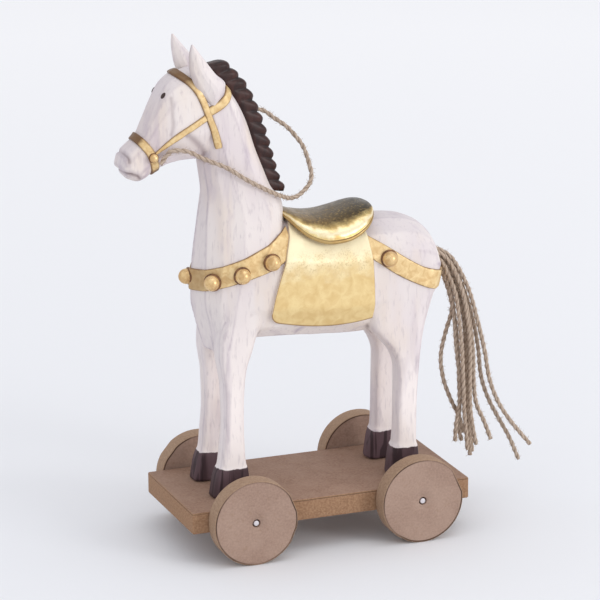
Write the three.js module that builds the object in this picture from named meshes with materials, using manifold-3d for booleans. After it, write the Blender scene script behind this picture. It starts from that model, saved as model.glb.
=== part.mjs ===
// Toy horse of whitewashed carved wood, standing on a board with four wheels.
// Millimetres. +X is the way the horse faces and rolls, +Y is its left, +Z is up.
// The origin is on the ground, under the middle of the overall length.
import * as THREE from 'three';
import { mergeVertices } from 'three/addons/utils/BufferGeometryUtils.js';
import Module from 'manifold-3d';

const wasm = await Module();
wasm.setup();

// Board
const boardLength = 160;
const boardWidth = 75;
const boardThickness = 12;
const boardEase = 0.8;

// Wheels, and the steel pins that they turn on
const wheelDiameter = 47;
const wheelThickness = 10.5;
const wheelGap = 0.9;
const wheelSides = 32;
const axleSpacing = 96;
const pinDiameter = 3;
const pinInBoard = 18;
const pinRecess = 0.2;
const pinSides = 8;
const wheelPlay = 0.8;
const contactGap = 0.3;

// Horse. Its free form is drawn at drawnHeight, hooves to ear tips, and scaled to horseHeight.
const horseHeight = 248;
const drawnHeight = 248;
const horseScale = horseHeight / drawnHeight;

// Raised work on the horse, and the round studs set on it
const strapRise = 1.1;
const clothRise = 2.4;
const bridleWidth = 3.8;
const nosebandWidth = 4.6;
const studDiameter = 8.4;
const studHeight = 6.2;
const bitStudDiameter = 4.6;
const bitStudHeight = 3.2;
const studSides = 8;

// Jute: the tail's strands in their hole, and the reins
const strandDiameter = 2.5;
const tailHoleDiameter = 12.8;
const tailHoleDepth = 9;
const tailHoleSides = 12;
const twineSides = 8;
const twineStep = 3 * strandDiameter;

// Levels that the rest stands on
const axleHeight = wheelDiameter / 2;
const boardTop = axleHeight + boardThickness / 2;
const hoofLevel = boardTop + contactGap;

const colours = {
  wood: 0xe6dfe0,
  board: 0xa5826c,
  wheel: 0xa98a76,
  steel: 0xc9c9cc,
  gold: 0xd9b871,
  jute: 0xa5927d,
};

// Turns a closed three.js geometry into a solid that can be joined and cut.
function toSolid(geometry) {
  const bare = new THREE.BufferGeometry();
  bare.setAttribute('position', geometry.getAttribute('position').clone());
  bare.setIndex(geometry.getIndex());
  const merged = mergeVertices(bare, 1e-4);
  const vertProperties = new Float32Array(merged.getAttribute('position').array);
  const triVerts = new Uint32Array(merged.getIndex().array);
  return new wasm.Manifold(new wasm.Mesh({ numProp: 3, vertProperties, triVerts }));
}

function toGeometry(solid) {
  const mesh = solid.getMesh();
  const geometry = new THREE.BufferGeometry();
  geometry.setAttribute('position', new THREE.BufferAttribute(mesh.vertProperties, 3));
  geometry.setIndex(new THREE.BufferAttribute(mesh.triVerts, 1));
  return geometry;
}

function joined(solids) {
  return solids.reduce((whole, solid) => whole.add(solid));
}

// Skins a row of rings, each with the same number of points, and closes both ends.
function loft(rings) {
  const count = rings[0].length;
  const last = (rings.length - 1) * count;
  const faces = [];
  for (let i = 0; i < last; i += count) {
    for (let j = 0; j < count; j++) {
      const next = (j + 1) % count;
      faces.push(i + j, i + next, i + count + next);
      faces.push(i + j, i + count + next, i + count + j);
    }
  }
  for (let j = 1; j < count - 1; j++) {
    faces.push(0, j + 1, j);
    faces.push(last, last + j, last + j + 1);
  }
  const geometry = new THREE.BufferGeometry();
  const positions = rings.flat().flatMap((p) => p.toArray());
  geometry.setAttribute('position', new THREE.Float32BufferAttribute(positions, 3));
  geometry.setIndex(faces);
  const solid = toSolid(geometry);
  if (solid.volume() > 0) return solid;
  geometry.setIndex(faces.reverse());
  return toSolid(geometry);
}

// A whittled section. A station runs from point a to point b in the side view, and from yIn to
// yOut across. Its outline has a flat of half-width faceA at a and faceB at b, shares of the
// half-width, a flank between shares flankA and flankB of the half-length, and bevels between
// them, which a rounded section breaks in two. bowA and bowB are how far the middle of each end
// stands out beyond its flat, in mm.
const bevelSwell = 0.09;

function section(station, { grow = 0, rounded = false }) {
  const [ax, az, bx, bz, yIn, yOut, faceA, faceB, flankA, flankB, bowA, bowB] = station;
  const middle = new THREE.Vector3((ax + bx) / 2, (yIn + yOut) / 2, (az + bz) / 2);
  const along = new THREE.Vector3((bx - ax) / 2, 0, (bz - az) / 2);
  const halfLength = along.length() + grow;
  const halfWidth = (yOut - yIn) / 2 + grow;
  along.setLength(halfLength);
  const cornerA = [-1 + bowA / halfLength, faceA];
  const cornerB = [1 - bowB / halfLength, faceB];
  const bevel = (p, q) => {
    const swell = 0.5 + bevelSwell;
    return rounded ? [[(p[0] + q[0]) * swell, (p[1] + q[1]) * swell]] : [];
  };
  const half = [
    cornerA,
    ...bevel(cornerA, [-flankA, 1]),
    [-flankA, 1],
    [flankB, 1],
    ...bevel(cornerB, [flankB, 1]),
    cornerB,
  ];
  const mirrored = half.map(([u, v]) => [u, -v]).reverse();
  const outline = [[-1, 0], ...half, [1, 0], ...mirrored];
  return outline.map(([u, v]) => {
    const point = middle.clone().addScaledVector(along, u);
    point.y += v * halfWidth;
    return point.multiplyScalar(horseScale);
  });
}

function body(stations, form = {}) {
  return loft(stations.map((station) => section(station, form)));
}

// Trunk, from the chest to the rump: x, top, underside, half-width
const trunkShape = [0.36, 0.5, 0.42, 0.4, 0.8, 0.5];
const trunkStations = [
  [57, 124, 88, 13], [50, 138, 85, 20], [36, 146, 84.5, 22], [20, 147, 84, 22.8], [0, 144, 82.5, 23],
  [-20, 143, 81.5, 23], [-38, 144, 82, 22.6], [-52, 143, 87, 22], [-63, 138.5, 92, 20.8],
  [-69.6, 131.6, 96.6, 17.2], [-73.6, 124, 104, 11],
].map(([x, top, under, half]) => [x, top, x, under, -half, half, ...trunkShape]);

// Chest and neck, from between the forelegs to the poll: height, front, back, half-width, half
// width of the front flat as a share, how far the breast bone stands out, and where the flank
// begins
const neckStations = [
  [79, 59, 44, 19.5, 0.5, 2.6, 0.2], [88, 62, 38, 20.8, 0.48, 4.2, 0.1],
  [98, 64.6, 33, 21.6, 0.47, 4.7, 0.02], [107, 66.4, 29, 21.8, 0.465, 4.8, 0],
  [126, 65.7, 20, 21.3, 0.465, 4.7, 0.04], [135, 64.7, 16, 20.4, 0.46, 4.2, 0.1],
  [146, 63, 13.5, 18.8, 0.44, 3.2, 0.16], [156, 61.2, 14, 17.2, 0.43, 2.4, 0.2],
  [166, 59.8, 20.6, 15.6, 0.42, 1.9, 0.24], [175, 60.6, 24.2, 14.6, 0.42, 1.5, 0.28],
  [187, 62, 28.8, 13.6, 0.42, 1, 0.3], [203, 66, 33.8, 12.8, 0.42, 1, 0.34],
  [215, 67, 39.8, 12.2, 0.42, 1, 0.34], [223, 68, 46, 11.6, 0.42, 1, 0.34],
  [231.5, 69, 53, 10.2, 0.42, 1, 0.34],
].map(([z, front, back, half, face, bow, flank]) => (
  [front, z, back, z, -half, half, face, 0.34, flank, 0.42, bow, 1.6]
));

// Head, from inside the neck to the lips: the topline point, the underline point, half-width
const headStations = [
  [50, 226, 48, 196, 9], [63, 232.5, 55, 188, 12.2], [73.5, 231, 64.5, 184.4, 13],
  [80.3, 226.6, 72, 184.2, 12.6], [86, 217.4, 78, 183.2, 11.4], [91, 207.2, 83.2, 181.2, 9.9],
  [95.4, 198.8, 87.6, 179, 9], [100.6, 194.6, 91.6, 176, 9.3], [104.6, 190.6, 95.8, 174.6, 9.2],
  [106.6, 184.6, 101.2, 176.4, 6.6],
].map(([tx, tz, ux, uz, half]) => [tx, tz, ux, uz, -half, half, 0.46, 0.5, 0.5, 0.42, 0.8, 0.6]);

// Left foreleg and hoof, from the shoulder down: height, front, back, inner and outer side
const foreLegStations = [
  [107, 46, 26, 2, 20.4], [97, 53, 31, 3, 21.2], [88, 57.2, 35, 4.4, 21.6], [79, 57.6, 38, 6.6, 21.8],
  [71, 56.8, 41, 8.6, 21.6], [62, 55.6, 42.4, 9.6, 21.3], [45, 55.3, 43.2, 10, 21.1],
  [28, 56.6, 42.9, 9.9, 21.3], [16.2, 58, 42, 9.6, 21.7], [15.4, 58.8, 41.4, 9.1, 22.2],
  [0, 62.4, 40.4, 8.8, 22.6],
];

// Left hind leg and hoof, from inside the rump down
const hindLegStations = [
  [118, -44, -73, 2, 20.5], [105, -34, -69, 3, 22], [94, -29, -65, 4, 22.7], [86, -29.5, -62.4, 5, 22.8],
  [78, -35.5, -60.6, 6.6, 22.6], [70, -42, -59.4, 8.2, 22.2], [61, -44.8, -58.5, 9.3, 21.8],
  [40, -44.4, -57.3, 10, 21.3], [17.2, -43.6, -57, 9.6, 21.7], [16.4, -42.9, -57.6, 9.1, 22.2],
  [0, -39.9, -58.8, 8.8, 22.6],
];

const legShape = [0.58, 0.55, 0.55, 0.55, 0.4, 0.4];

function legSolids(stations) {
  return [1, -1].map((side) => body(stations.map(([z, front, back, yIn, yOut]) => {
    const across = [side * yIn, side * yOut].sort((p, q) => p - q);
    return [front, z, back, z, ...across, ...legShape];
  })));
}

// Ears, leaves that lie along the head and stand up apart: front point, back point, y range
const earStations = [
  [58.6, 212.8, 55.4, 213.6, 9, 12.6], [62.6, 216.6, 51.4, 219.8, 7.5, 15], [65.8, 221, 50, 225, 7.5, 16],
  [68.4, 227.4, 55, 230.6, 8, 16], [69.6, 235.4, 59.6, 237, 9.8, 16.2], [70, 242.4, 64.4, 243.2, 12.4, 16.6],
  [69.2, 247.8, 68.2, 248, 15.2, 16.4],
];

const earShape = [0.3, 0.3, 0.2, 0.2, 0.3, 0.3];

function earSolids() {
  return [1, -1].map((side) => body(earStations.map(([fx, fz, bx, bz, yIn, yOut]) => {
    const across = [side * yIn, side * yOut].sort((p, q) => p - q);
    return [fx, fz, bx, bz, ...across, ...earShape];
  })));
}

// Mane: a strip down the crest, whose outer edge is plaited into lobes. Each lobe swells as it
// runs down and steps back in at its lower end.
const maneLine = [
  [53.6, 233.6], [46, 226.6], [38.6, 217.4], [32, 203], [27, 187], [22.6, 171], [19.2, 162.6],
].map(([x, z]) => new THREE.Vector3(x, 0, z));
const maneHalfWidth = 4.7;
const maneLobes = 12;
const maneInner = 4;
const maneGroove = { share: 0, reach: 2.9 };
const maneCrest = { share: 0.62, reach: 4.9 };
const maneSlant = 2.4;
const maneShape = [0.8, 0.5, 0.8, 0.3, 0, 0.5];

function maneSolid() {
  const curve = new THREE.CatmullRomCurve3(maneLine);
  const stations = [];
  for (let i = 0; i <= maneLobes; i++) {
    for (const { share, reach } of i < maneLobes ? [maneGroove, maneCrest] : [maneGroove]) {
      const t = (i + share) / maneLobes;
      const centre = curve.getPointAt(t);
      const tangent = curve.getTangentAt(t);
      const outward = new THREE.Vector3(tangent.z, 0, -tangent.x);
      const inner = centre.clone().addScaledVector(outward, -maneInner).addScaledVector(tangent, -maneSlant);
      const outer = centre.clone().addScaledVector(outward, reach).addScaledVector(tangent, maneSlant);
      const across = [-maneHalfWidth, maneHalfWidth];
      stations.push([inner.x, inner.z, outer.x, outer.z, ...across, ...maneShape]);
    }
  }
  return body(stations);
}

// A plate wider than the horse, cut to an outline in the side view
const plateWidth = 80;
const plateCurveSteps = 4;

function plate(shape) {
  const geometry = new THREE.ExtrudeGeometry(shape, {
    depth: plateWidth, bevelEnabled: false, curveSegments: plateCurveSteps,
  });
  geometry.rotateX(Math.PI / 2);
  geometry.translate(0, plateWidth / 2, 0);
  geometry.scale(horseScale, horseScale, horseScale);
  return toSolid(geometry);
}

// A strip of even width along a few points of the side view
function strip(points, width) {
  const curve = new THREE.SplineCurve(points.map(([x, z]) => new THREE.Vector2(x, z)));
  const count = points.length;
  const sides = [[], []];
  for (let i = 0; i <= count; i++) {
    const point = curve.getPointAt(i / count);
    const across = curve.getTangentAt(i / count).rotateAround(new THREE.Vector2(), Math.PI / 2);
    sides[0].push(point.clone().addScaledVector(across, width / 2));
    sides[1].unshift(point.clone().addScaledVector(across, -width / 2));
  }
  return new THREE.Shape([...sides[0], ...sides[1]]);
}

const bridleStrips = [
  {
    width: bridleWidth,
    points: [[76, 232.5], [68.2, 226.6], [63.2, 219.5], [58.6, 208], [55.4, 198.6], [53.4, 190.9]],
  },
  { width: bridleWidth, points: [[88.5, 189.5], [78, 197.6], [69.4, 202.8], [60.4, 207.8]] },
  { width: bridleWidth + 1, points: [[58.6, 210.6], [51, 214.8], [45, 221.5], [40, 228]] },
  {
    width: nosebandWidth,
    points: [[99.5, 201.6], [94.6, 196.6], [90, 190.4], [87.4, 183], [86.4, 177]],
  },
];

// Breast band and breeching, each as its upper and lower edge in the side view
const breastBand = {
  upper: [[70, 123.6], [61.8, 124.8], [50, 129], [38.6, 133.6], [27, 138.6], [16, 144.6]],
  lower: [[16, 131.5], [27, 124.6], [38.6, 120.6], [50, 117.4], [61.8, 113.2], [70, 112]],
};
const breeching = {
  upper: [[-24, 139], [-35, 132.6], [-50.4, 122.6], [-60, 117], [-70, 113.9], [-80, 112.4]],
  lower: [[-80, 102], [-69, 103.2], [-59.4, 106.2], [-45.2, 113.6], [-33.4, 121.8], [-24, 128.5]],
};

const bandEdgeSteps = 6;

function bandShape({ upper, lower }) {
  const edge = (points) => {
    const curve = new THREE.SplineCurve(points.map(([x, z]) => new THREE.Vector2(x, z)));
    return curve.getPoints(bandEdgeSteps);
  };
  return new THREE.Shape([...edge(upper), ...edge(lower)]);
}

// Saddle cloth, a flap that hangs over both sides
function clothShape() {
  const shape = new THREE.Shape();
  shape.moveTo(16.6, 152);
  shape.quadraticCurveTo(25.6, 122, 28.6, 100.6);
  shape.quadraticCurveTo(28.4, 95.6, 23, 94.6);
  shape.quadraticCurveTo(-6, 87.4, -30, 92.4);
  shape.quadraticCurveTo(-30.6, 118, -26.4, 152);
  return shape;
}

// Seat, a low half-moon over the cloth: x and height along its topline
const seatTop = [
  [15.4, 150.4], [10, 149.8], [3, 148.4], [-5, 148], [-14, 149.2], [-23, 150.6], [-30, 151.6], [-34.4, 150],
];
const seatFlank = 25.4;
const seatBase = 110;
const seatShape = [0.3, 0.9, 0.3, 0.9, 1, 0];

function seatSolid() {
  const stations = seatTop.map(([x, top]) => [x, top, x, seatBase, -seatFlank, seatFlank, ...seatShape]);
  const shape = new THREE.Shape();
  shape.moveTo(17, 156);
  shape.lineTo(15.4, 150);
  shape.quadraticCurveTo(9, 136.4, -8, 135.9);
  shape.quadraticCurveTo(-25.4, 135.6, -31.6, 149);
  shape.lineTo(-36, 156);
  return body(stations).intersect(plate(shape));
}

// The figure's own forms; only the chest and neck are rounded between their facets.
function trunkSolid(grow = 0) {
  return body(trunkStations, { grow });
}

function neckSolid(grow = 0) {
  return body(neckStations, { grow, rounded: true });
}

function headSolid(grow = 0) {
  return body(headStations, { grow });
}

// Raised work: an outline cut from the figure's own form once that is grown by a rise
function horseSolid() {
  const carved = [trunkSolid(), neckSolid(), headSolid()];
  const legs = [...legSolids(foreLegStations), ...legSolids(hindLegStations)];
  const strappedNeck = neckSolid(strapRise);
  const strappedTrunk = trunkSolid(strapRise);
  const strappedHead = strappedNeck.add(headSolid(strapRise));
  const harness = [
    strappedTrunk.add(strappedNeck).intersect(plate(bandShape(breastBand))),
    strappedTrunk.intersect(plate(bandShape(breeching))),
    trunkSolid(clothRise).intersect(plate(clothShape())),
    seatSolid(),
    ...bridleStrips.map(({ width, points }) => strappedHead.intersect(plate(strip(points, width)))),
  ];
  return joined([...carved, ...legs, ...earSolids(), maneSolid(), ...harness]);
}

// A cylinder that runs along an axis from a start point
function rod(start, axis, length, diameter, sides) {
  const geometry = new THREE.CylinderGeometry(diameter / 2, diameter / 2, length, sides);
  geometry.translate(0, length / 2, 0);
  return turned(geometry, axis, start);
}

// Turns a geometry's own +Y onto an axis and moves it to a point.
function turned(geometry, axis, point) {
  const turn = new THREE.Quaternion().setFromUnitVectors(new THREE.Vector3(0, 1, 0), axis);
  geometry.applyQuaternion(turn);
  geometry.translate(point.x, point.y, point.z);
  return geometry;
}

// Studs: a point inside the horse, in the figure's own drawing, and the way that the stud faces
const studPlaces = {
  breast_stud_front: { from: [50, -2.5, 119], faces: [1, 0, 0] },
  breast_stud_corner_left: { from: [53.3, 7.4, 119], faces: [0.6, 0.8, 0] },
  breast_stud_corner_right: { from: [49.6, -8, 119.6], faces: [0.12, -0.99, 0] },
  breast_stud_shoulder_left: { from: [45, 0, 123.1], faces: [0, 1, 0] },
  breast_stud_shoulder_right: { from: [33.5, 0, 126.8], faces: [0, -1, 0] },
  breast_stud_saddle_left: { from: [28.5, 0, 129], faces: [0, 1, 0] },
  rump_stud_left: { from: [-38.4, 0, 124.5], faces: [0, 1, 0] },
  rump_stud_right: { from: [-38.4, 0, 124.5], faces: [0, -1, 0] },
  bit_stud_left: { from: [88.9, 0, 188.4], faces: [0, 1, 0], bit: true },
  bit_stud_right: { from: [88.9, 0, 188.4], faces: [0, -1, 0], bit: true },
};
const studSink = 0.5;

// Every stud, with the point of the horse's skin that it sits on
function studList(horse) {
  const skin = new THREE.Mesh(toGeometry(horse), new THREE.MeshBasicMaterial());
  const list = [];
  for (const [name, { from, faces, bit }] of Object.entries(studPlaces)) {
    const axis = new THREE.Vector3(...faces).normalize();
    const start = new THREE.Vector3(...from).multiplyScalar(horseScale).addScaledVector(axis, horseHeight);
    const [hit] = new THREE.Raycaster(start, axis.clone().negate()).intersectObject(skin);
    const size = bit ? [bitStudDiameter, bitStudHeight] : [studDiameter, studHeight];
    list.push({ name, axis, seat: hit.point.addScaledVector(axis, -studSink), size });
  }
  return list;
}

// A stud is a ball, cut flat at the back.
const studSteps = 3;

function studGeometry([diameter, height]) {
  const radius = diameter / 2;
  const rise = height - radius;
  const first = -Math.asin(rise / radius);
  const profile = [new THREE.Vector2(0, 0)];
  for (let i = 0; i < studSteps; i++) {
    const turn = first + (Math.PI / 2 - first) * i / studSteps;
    profile.push(new THREE.Vector2(radius * Math.cos(turn), rise + radius * Math.sin(turn)));
  }
  profile.push(new THREE.Vector2(0, height));
  return new THREE.LatheGeometry(profile, studSides);
}

// Tail: the hole in the rump, and the strands wedged in it
const tailRoot = [-73.6, 118.4];
const tailTilt = 22;
const tilt = THREE.MathUtils.degToRad(tailTilt);
const tailAxis = new THREE.Vector3(-Math.cos(tilt), 0, -Math.sin(tilt));
const tailUp = new THREE.Vector3(-Math.sin(tilt), 0, Math.cos(tilt));
const tailHole = new THREE.Vector3(tailRoot[0], 0, tailRoot[1]).multiplyScalar(horseScale);
const strandDepth = 7;

// Each strand: its slot in the hole, across and up, then the points that it hangs through, as
// distances back from the hole, to the left, and down
const strands = [
  {
    slot: [1.45, 2.9],
    drop: [
      [5, 1.5, -0.9], [11, 1.6, 3.8], [20.7, 1.8, 21.3], [26.5, 2, 40.4], [30.9, 2.3, 58.4],
      [34.2, 2.6, 76.4], [39.2, 3, 89.4], [46.7, 3.4, 101.4], [58.7, 3.8, 116.4],
    ],
  },
  {
    slot: [1.45, 0],
    drop: [
      [5.1, 1.6, 2.7], [10.1, 1.7, 9.2], [17.1, 1.8, 22.3], [21.8, 1.9, 40.4], [24.2, 1.9, 58.4],
      [24.8, 1.9, 76.4], [26.4, 2, 89.4], [30.8, 2.2, 99.4], [35.2, 2.4, 110.9],
    ],
  },
  {
    slot: [1.45, -2.9],
    drop: [
      [3.8, 1.7, 6], [6.6, 1.8, 11.7], [10.8, 1.9, 24.4], [12.9, 2, 39.4], [13.6, 2, 50.4],
      [14.9, 2, 62.4], [16.6, 2, 74.4], [16.2, 2.2, 88.4], [14, 2.4, 100.4], [13.4, 2.6, 109.4],
    ],
  },
  {
    slot: [-1.45, 2.9],
    drop: [
      [5, -1.5, -0.8], [10.6, -1.6, 4.2], [19.5, -1.8, 22.3], [25.4, -2, 40.4], [29, -2, 58.4],
      [30.8, -2, 74.4], [35, -2.2, 87.4], [41.2, -2.6, 99.4], [48.8, -3, 112.9], [55, -3.4, 126.9],
    ],
  },
  {
    slot: [-1.45, 0],
    drop: [
      [4.9, -1.6, 3.1], [9.6, -1.7, 9.9], [16.2, -1.8, 23.4], [20.6, -1.9, 40.4], [22.8, -1.9, 58.4],
      [23, -1.9, 76.4], [23.1, -1.9, 92.4], [24, -2, 107.4], [24.6, -2.1, 120.4],
    ],
  },
  {
    slot: [-1.45, -2.9],
    drop: [
      [3.8, -1.7, 6.2], [6.7, -1.8, 12.2], [11.2, -1.9, 24.4], [14.8, -2, 40.4], [16.8, -2, 58.4],
      [17.6, -2, 76.4], [18, -2, 90.4], [17.6, -2, 102.4], [19.2, -2, 111],
    ],
  },
  {
    slot: [4.35, 1.45],
    drop: [
      [5, 4.5, 1.1], [9.9, 4.7, 7.3], [16.1, 4.9, 22.3], [19.6, 5, 40.4], [21.2, 5, 58.4],
      [21.2, 5, 76.4], [21.6, 5.1, 92.4], [23.4, 5.3, 104.4], [25, 5.4, 111.9],
    ],
  },
  {
    slot: [4.35, -1.45],
    drop: [
      [4.2, 4.5, 4.9], [7.6, 4.7, 11.7], [12, 4.9, 23.4], [14.6, 5, 40.4], [16.2, 5, 58.4],
      [17.2, 5, 76.4], [17.8, 5, 92.4], [19, 5.1, 104.4], [19.8, 5.2, 114.4],
    ],
  },
  {
    slot: [-4.35, 1.45],
    drop: [
      [5, -4.5, 1.1], [10.1, -4.7, 7.6], [17.1, -4.9, 22.3], [21.2, -5, 40.4], [22.8, -5, 58.4],
      [23.6, -5, 76.4], [24.2, -5, 92.4], [26, -5.1, 104.4], [27.2, -5.2, 119.4],
    ],
  },
  {
    slot: [-4.35, -1.45],
    drop: [
      [3.9, -4.5, 5.1], [8.1, -4.7, 12.2], [13.2, -4.9, 23.4], [14.2, -5, 35.4], [10.2, -5.1, 49.4],
      [7.8, -5.2, 61.9], [9.6, -5.2, 75.4], [14.2, -5.1, 87.9], [19.2, -5, 98.4], [21.6, -5, 107.4],
    ],
  },
];

// Reins, from the left end of the bit round behind the mane to the right end: x from the middle of
// the board, y, and height above the ground
const reinPoints = [
  [86, 12.6, 214.8], [83.6, 13, 218.4], [80.4, 13.9, 221.7], [75.8, 14.8, 222], [70.6, 15.6, 220.7],
  [65.4, 16.2, 217.8], [58.6, 16.6, 214.5], [50.2, 17, 210.5], [42.1, 17.8, 204.9], [33.5, 18, 199.6],
  [23.4, 14.6, 193.9], [16.7, 10.2, 190.4], [11.4, 6, 188.3], [6.2, 3, 188.1], [1.1, 0, 190.1],
  [-3.4, -2.5, 193.5], [-5.2, -5, 197.5], [-4.8, -7.5, 203], [-2.6, -10.5, 211.7], [0.7, -12.5, 217],
  [5.6, -14.5, 222.8], [11.7, -16.4, 227.4], [17.7, -17, 231.9], [28, -17, 234], [40, -16.8, 232.5],
  [52, -16.6, 229], [62, -16.3, 225.4], [71, -15.6, 222], [79, -14.2, 219.2], [86, -12.6, 214.8],
];

function tube(points) {
  const path = new THREE.CatmullRomCurve3(points);
  const shape = new THREE.Shape(new THREE.EllipseCurve(0, 0, strandDiameter / 2, strandDiameter / 2)
    .getPoints(twineSides).slice(1));
  const steps = Math.round(path.getLength() / twineStep);
  return new THREE.ExtrudeGeometry(shape, { steps, extrudePath: path, bevelEnabled: false });
}

function strandPoints({ slot: [across, up], drop }) {
  const mouth = tailHole.clone().addScaledVector(tailUp, up).setY(across);
  const inside = mouth.clone().addScaledVector(tailAxis, -strandDepth);
  const hanging = drop.map(([back, left, down]) => (
    new THREE.Vector3(tailHole.x - back, left, tailHole.z - down)
  ));
  return [inside, mouth, ...hanging];
}

// Wheels: round, but for the flats that hand cutting left. A flat is the way it faces, in degrees
// from +X, and how deep it was cut.
const wheelFlats = {
  front_left: [[158, 0.5], [203, 0.35]],
  front_right: [[40, 0.4]],
  rear_left: [[156, 1.1], [300, 0.3]],
  rear_right: [[120, 0.5]],
};

const boreCurveSteps = 8;

function wheelGeometry(flats) {
  const shape = new THREE.Shape();
  for (let i = 0; i < wheelSides; i++) {
    const angle = 2 * Math.PI * (i + 0.5) / wheelSides;
    const round = wheelDiameter / 2 / Math.cos(Math.PI / wheelSides);
    const reach = flats.map(([faces, depth]) => {
      const turn = Math.cos(angle - THREE.MathUtils.degToRad(faces));
      return turn > 0 ? (wheelDiameter / 2 - depth) / turn : round;
    });
    const radius = Math.min(round, ...reach);
    const point = [radius * Math.cos(angle), radius * Math.sin(angle)];
    if (i === 0) shape.moveTo(...point);
    else shape.lineTo(...point);
  }
  const bore = new THREE.Path();
  bore.absarc(0, 0, pinDiameter / 2 + wheelPlay, 0, 2 * Math.PI);
  shape.holes.push(bore);
  const geometry = new THREE.ExtrudeGeometry(shape, {
    depth: wheelThickness, bevelEnabled: false, curveSegments: boreCurveSteps,
  });
  geometry.translate(0, 0, -wheelThickness / 2);
  geometry.rotateX(Math.PI / 2);
  return geometry;
}

function boardBlank() {
  const halfLength = boardLength / 2 - boardEase;
  const halfWidth = boardWidth / 2 - boardEase;
  const shape = new THREE.Shape();
  shape.moveTo(-halfLength, -halfWidth);
  shape.lineTo(halfLength, -halfWidth);
  shape.lineTo(halfLength, halfWidth);
  shape.lineTo(-halfLength, halfWidth);
  const geometry = new THREE.ExtrudeGeometry(shape, {
    depth: boardThickness - 2 * boardEase, bevelSize: boardEase, bevelThickness: boardEase, bevelSegments: 1,
  });
  geometry.translate(0, 0, boardEase - boardThickness / 2);
  return toSolid(geometry);
}

// Materials, one for each mesh
function finish(colour, roughness, metalness = 0) {
  return new THREE.MeshStandardMaterial({ color: colours[colour], roughness, metalness });
}

const model = new THREE.Group();

function place(name, geometry, material, position = [0, 0, 0]) {
  const mesh = new THREE.Mesh(geometry, material);
  mesh.name = name;
  mesh.position.set(...position);
  model.add(mesh);
  return mesh;
}

function addPlatform() {
  const pinLength = pinInBoard + wheelGap + wheelThickness - pinRecess;
  let board = boardBlank();
  for (const [end, x] of [['front', axleSpacing / 2], ['rear', -axleSpacing / 2]]) {
    for (const [hand, side] of [['left', 1], ['right', -1]]) {
      const outward = new THREE.Vector3(0, side, 0);
      const seat = new THREE.Vector3(x, side * (boardWidth / 2 - pinInBoard), 0);
      const bottom = seat.clone().addScaledVector(outward, -contactGap);
      const holeDiameter = pinDiameter + 2 * contactGap;
      board = board.subtract(toSolid(rod(bottom, outward, boardWidth, holeDiameter, pinSides)));
      const wheelY = side * (boardWidth / 2 + wheelGap + wheelThickness / 2);
      const corner = `${end}_${hand}`;
      const pin = rod(seat, outward, pinLength, pinDiameter, pinSides);
      const wheel = wheelGeometry(wheelFlats[corner]);
      place(`wheel_${corner}`, wheel, finish('wheel', 0.8), [x, wheelY, axleHeight]);
      place(`axle_pin_${corner}`, pin, finish('steel', 0.35, 1), [0, 0, axleHeight]);
    }
  }
  place('platform', toGeometry(board), finish('board', 0.8), [0, 0, axleHeight]);
}

function addHorse() {
  let horse = horseSolid();
  const studs = studList(horse);
  for (const { axis, seat, size } of studs) {
    const socketDiameter = size[0] + 2 * contactGap;
    const socket = rod(seat, axis, studHeight + studSink, socketDiameter, studSides);
    horse = horse.subtract(toSolid(socket));
  }
  const bottom = tailHole.clone().addScaledVector(tailAxis, -tailHoleDepth);
  horse = horse.subtract(toSolid(rod(bottom, tailAxis, 2 * tailHoleDepth, tailHoleDiameter, tailHoleSides)));
  place('horse', toGeometry(horse), finish('wood', 0.6), [0, 0, hoofLevel]);
  for (const { name, axis, seat, size } of studs) {
    const back = seat.clone().addScaledVector(axis, contactGap);
    place(name, turned(studGeometry(size), axis, back), finish('gold', 0.4, 0.6), [0, 0, hoofLevel]);
  }
}

function addTwine() {
  strands.forEach((strand, i) => {
    const name = `tail_strand_${String(i + 1).padStart(2, '0')}`;
    place(name, tube(strandPoints(strand)), finish('jute', 0.9), [0, 0, hoofLevel]);
  });
  place('reins', tube(reinPoints.map((point) => new THREE.Vector3(...point))), finish('jute', 0.9));
}

addPlatform();
addHorse();

// The origin goes under the middle of the length, which the twine takes no part in.
const box = new THREE.Box3().setFromObject(model);
model.position.x = -(box.min.x + box.max.x) / 2;
addTwine();

export default model;
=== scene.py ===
import math

import bpy
import numpy as np
from mathutils import Matrix, Vector, noise
from mathutils.bvhtree import BVHTree
from mathutils.kdtree import KDTree


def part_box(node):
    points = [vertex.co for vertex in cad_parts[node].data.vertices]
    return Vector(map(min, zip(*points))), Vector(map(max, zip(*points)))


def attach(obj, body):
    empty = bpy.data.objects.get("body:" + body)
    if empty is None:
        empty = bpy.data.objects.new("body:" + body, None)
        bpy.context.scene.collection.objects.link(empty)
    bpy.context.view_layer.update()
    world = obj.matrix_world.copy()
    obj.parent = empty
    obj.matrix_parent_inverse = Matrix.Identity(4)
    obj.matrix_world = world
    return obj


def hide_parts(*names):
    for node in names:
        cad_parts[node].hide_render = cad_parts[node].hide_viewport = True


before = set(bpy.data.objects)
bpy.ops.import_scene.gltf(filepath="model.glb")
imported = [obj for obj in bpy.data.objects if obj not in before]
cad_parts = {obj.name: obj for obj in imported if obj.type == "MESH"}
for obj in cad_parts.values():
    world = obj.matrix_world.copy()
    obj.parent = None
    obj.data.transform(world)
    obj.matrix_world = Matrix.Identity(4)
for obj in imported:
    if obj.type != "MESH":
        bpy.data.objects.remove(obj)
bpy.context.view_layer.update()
mainBody = "horse_and_board"
mm = 0.001

# The figure is drawn in millimetres: x from the middle of the board, z up from under the hooves
boardLow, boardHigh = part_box("platform")
middleX = (boardLow.x + boardHigh.x) / 2
horseLow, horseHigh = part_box("horse")
hoofLevel = horseLow.z
drawnHeight = 248
drawingUnit = (horseHigh.z - hoofLevel) / drawnHeight
drawingOrigin = np.array([middleX, 0, hoofLevel])


def fromDrawing(points):
    return np.asarray(points, float) * drawingUnit + drawingOrigin


def levelOf(height):
    return hoofLevel + height * drawingUnit


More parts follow.
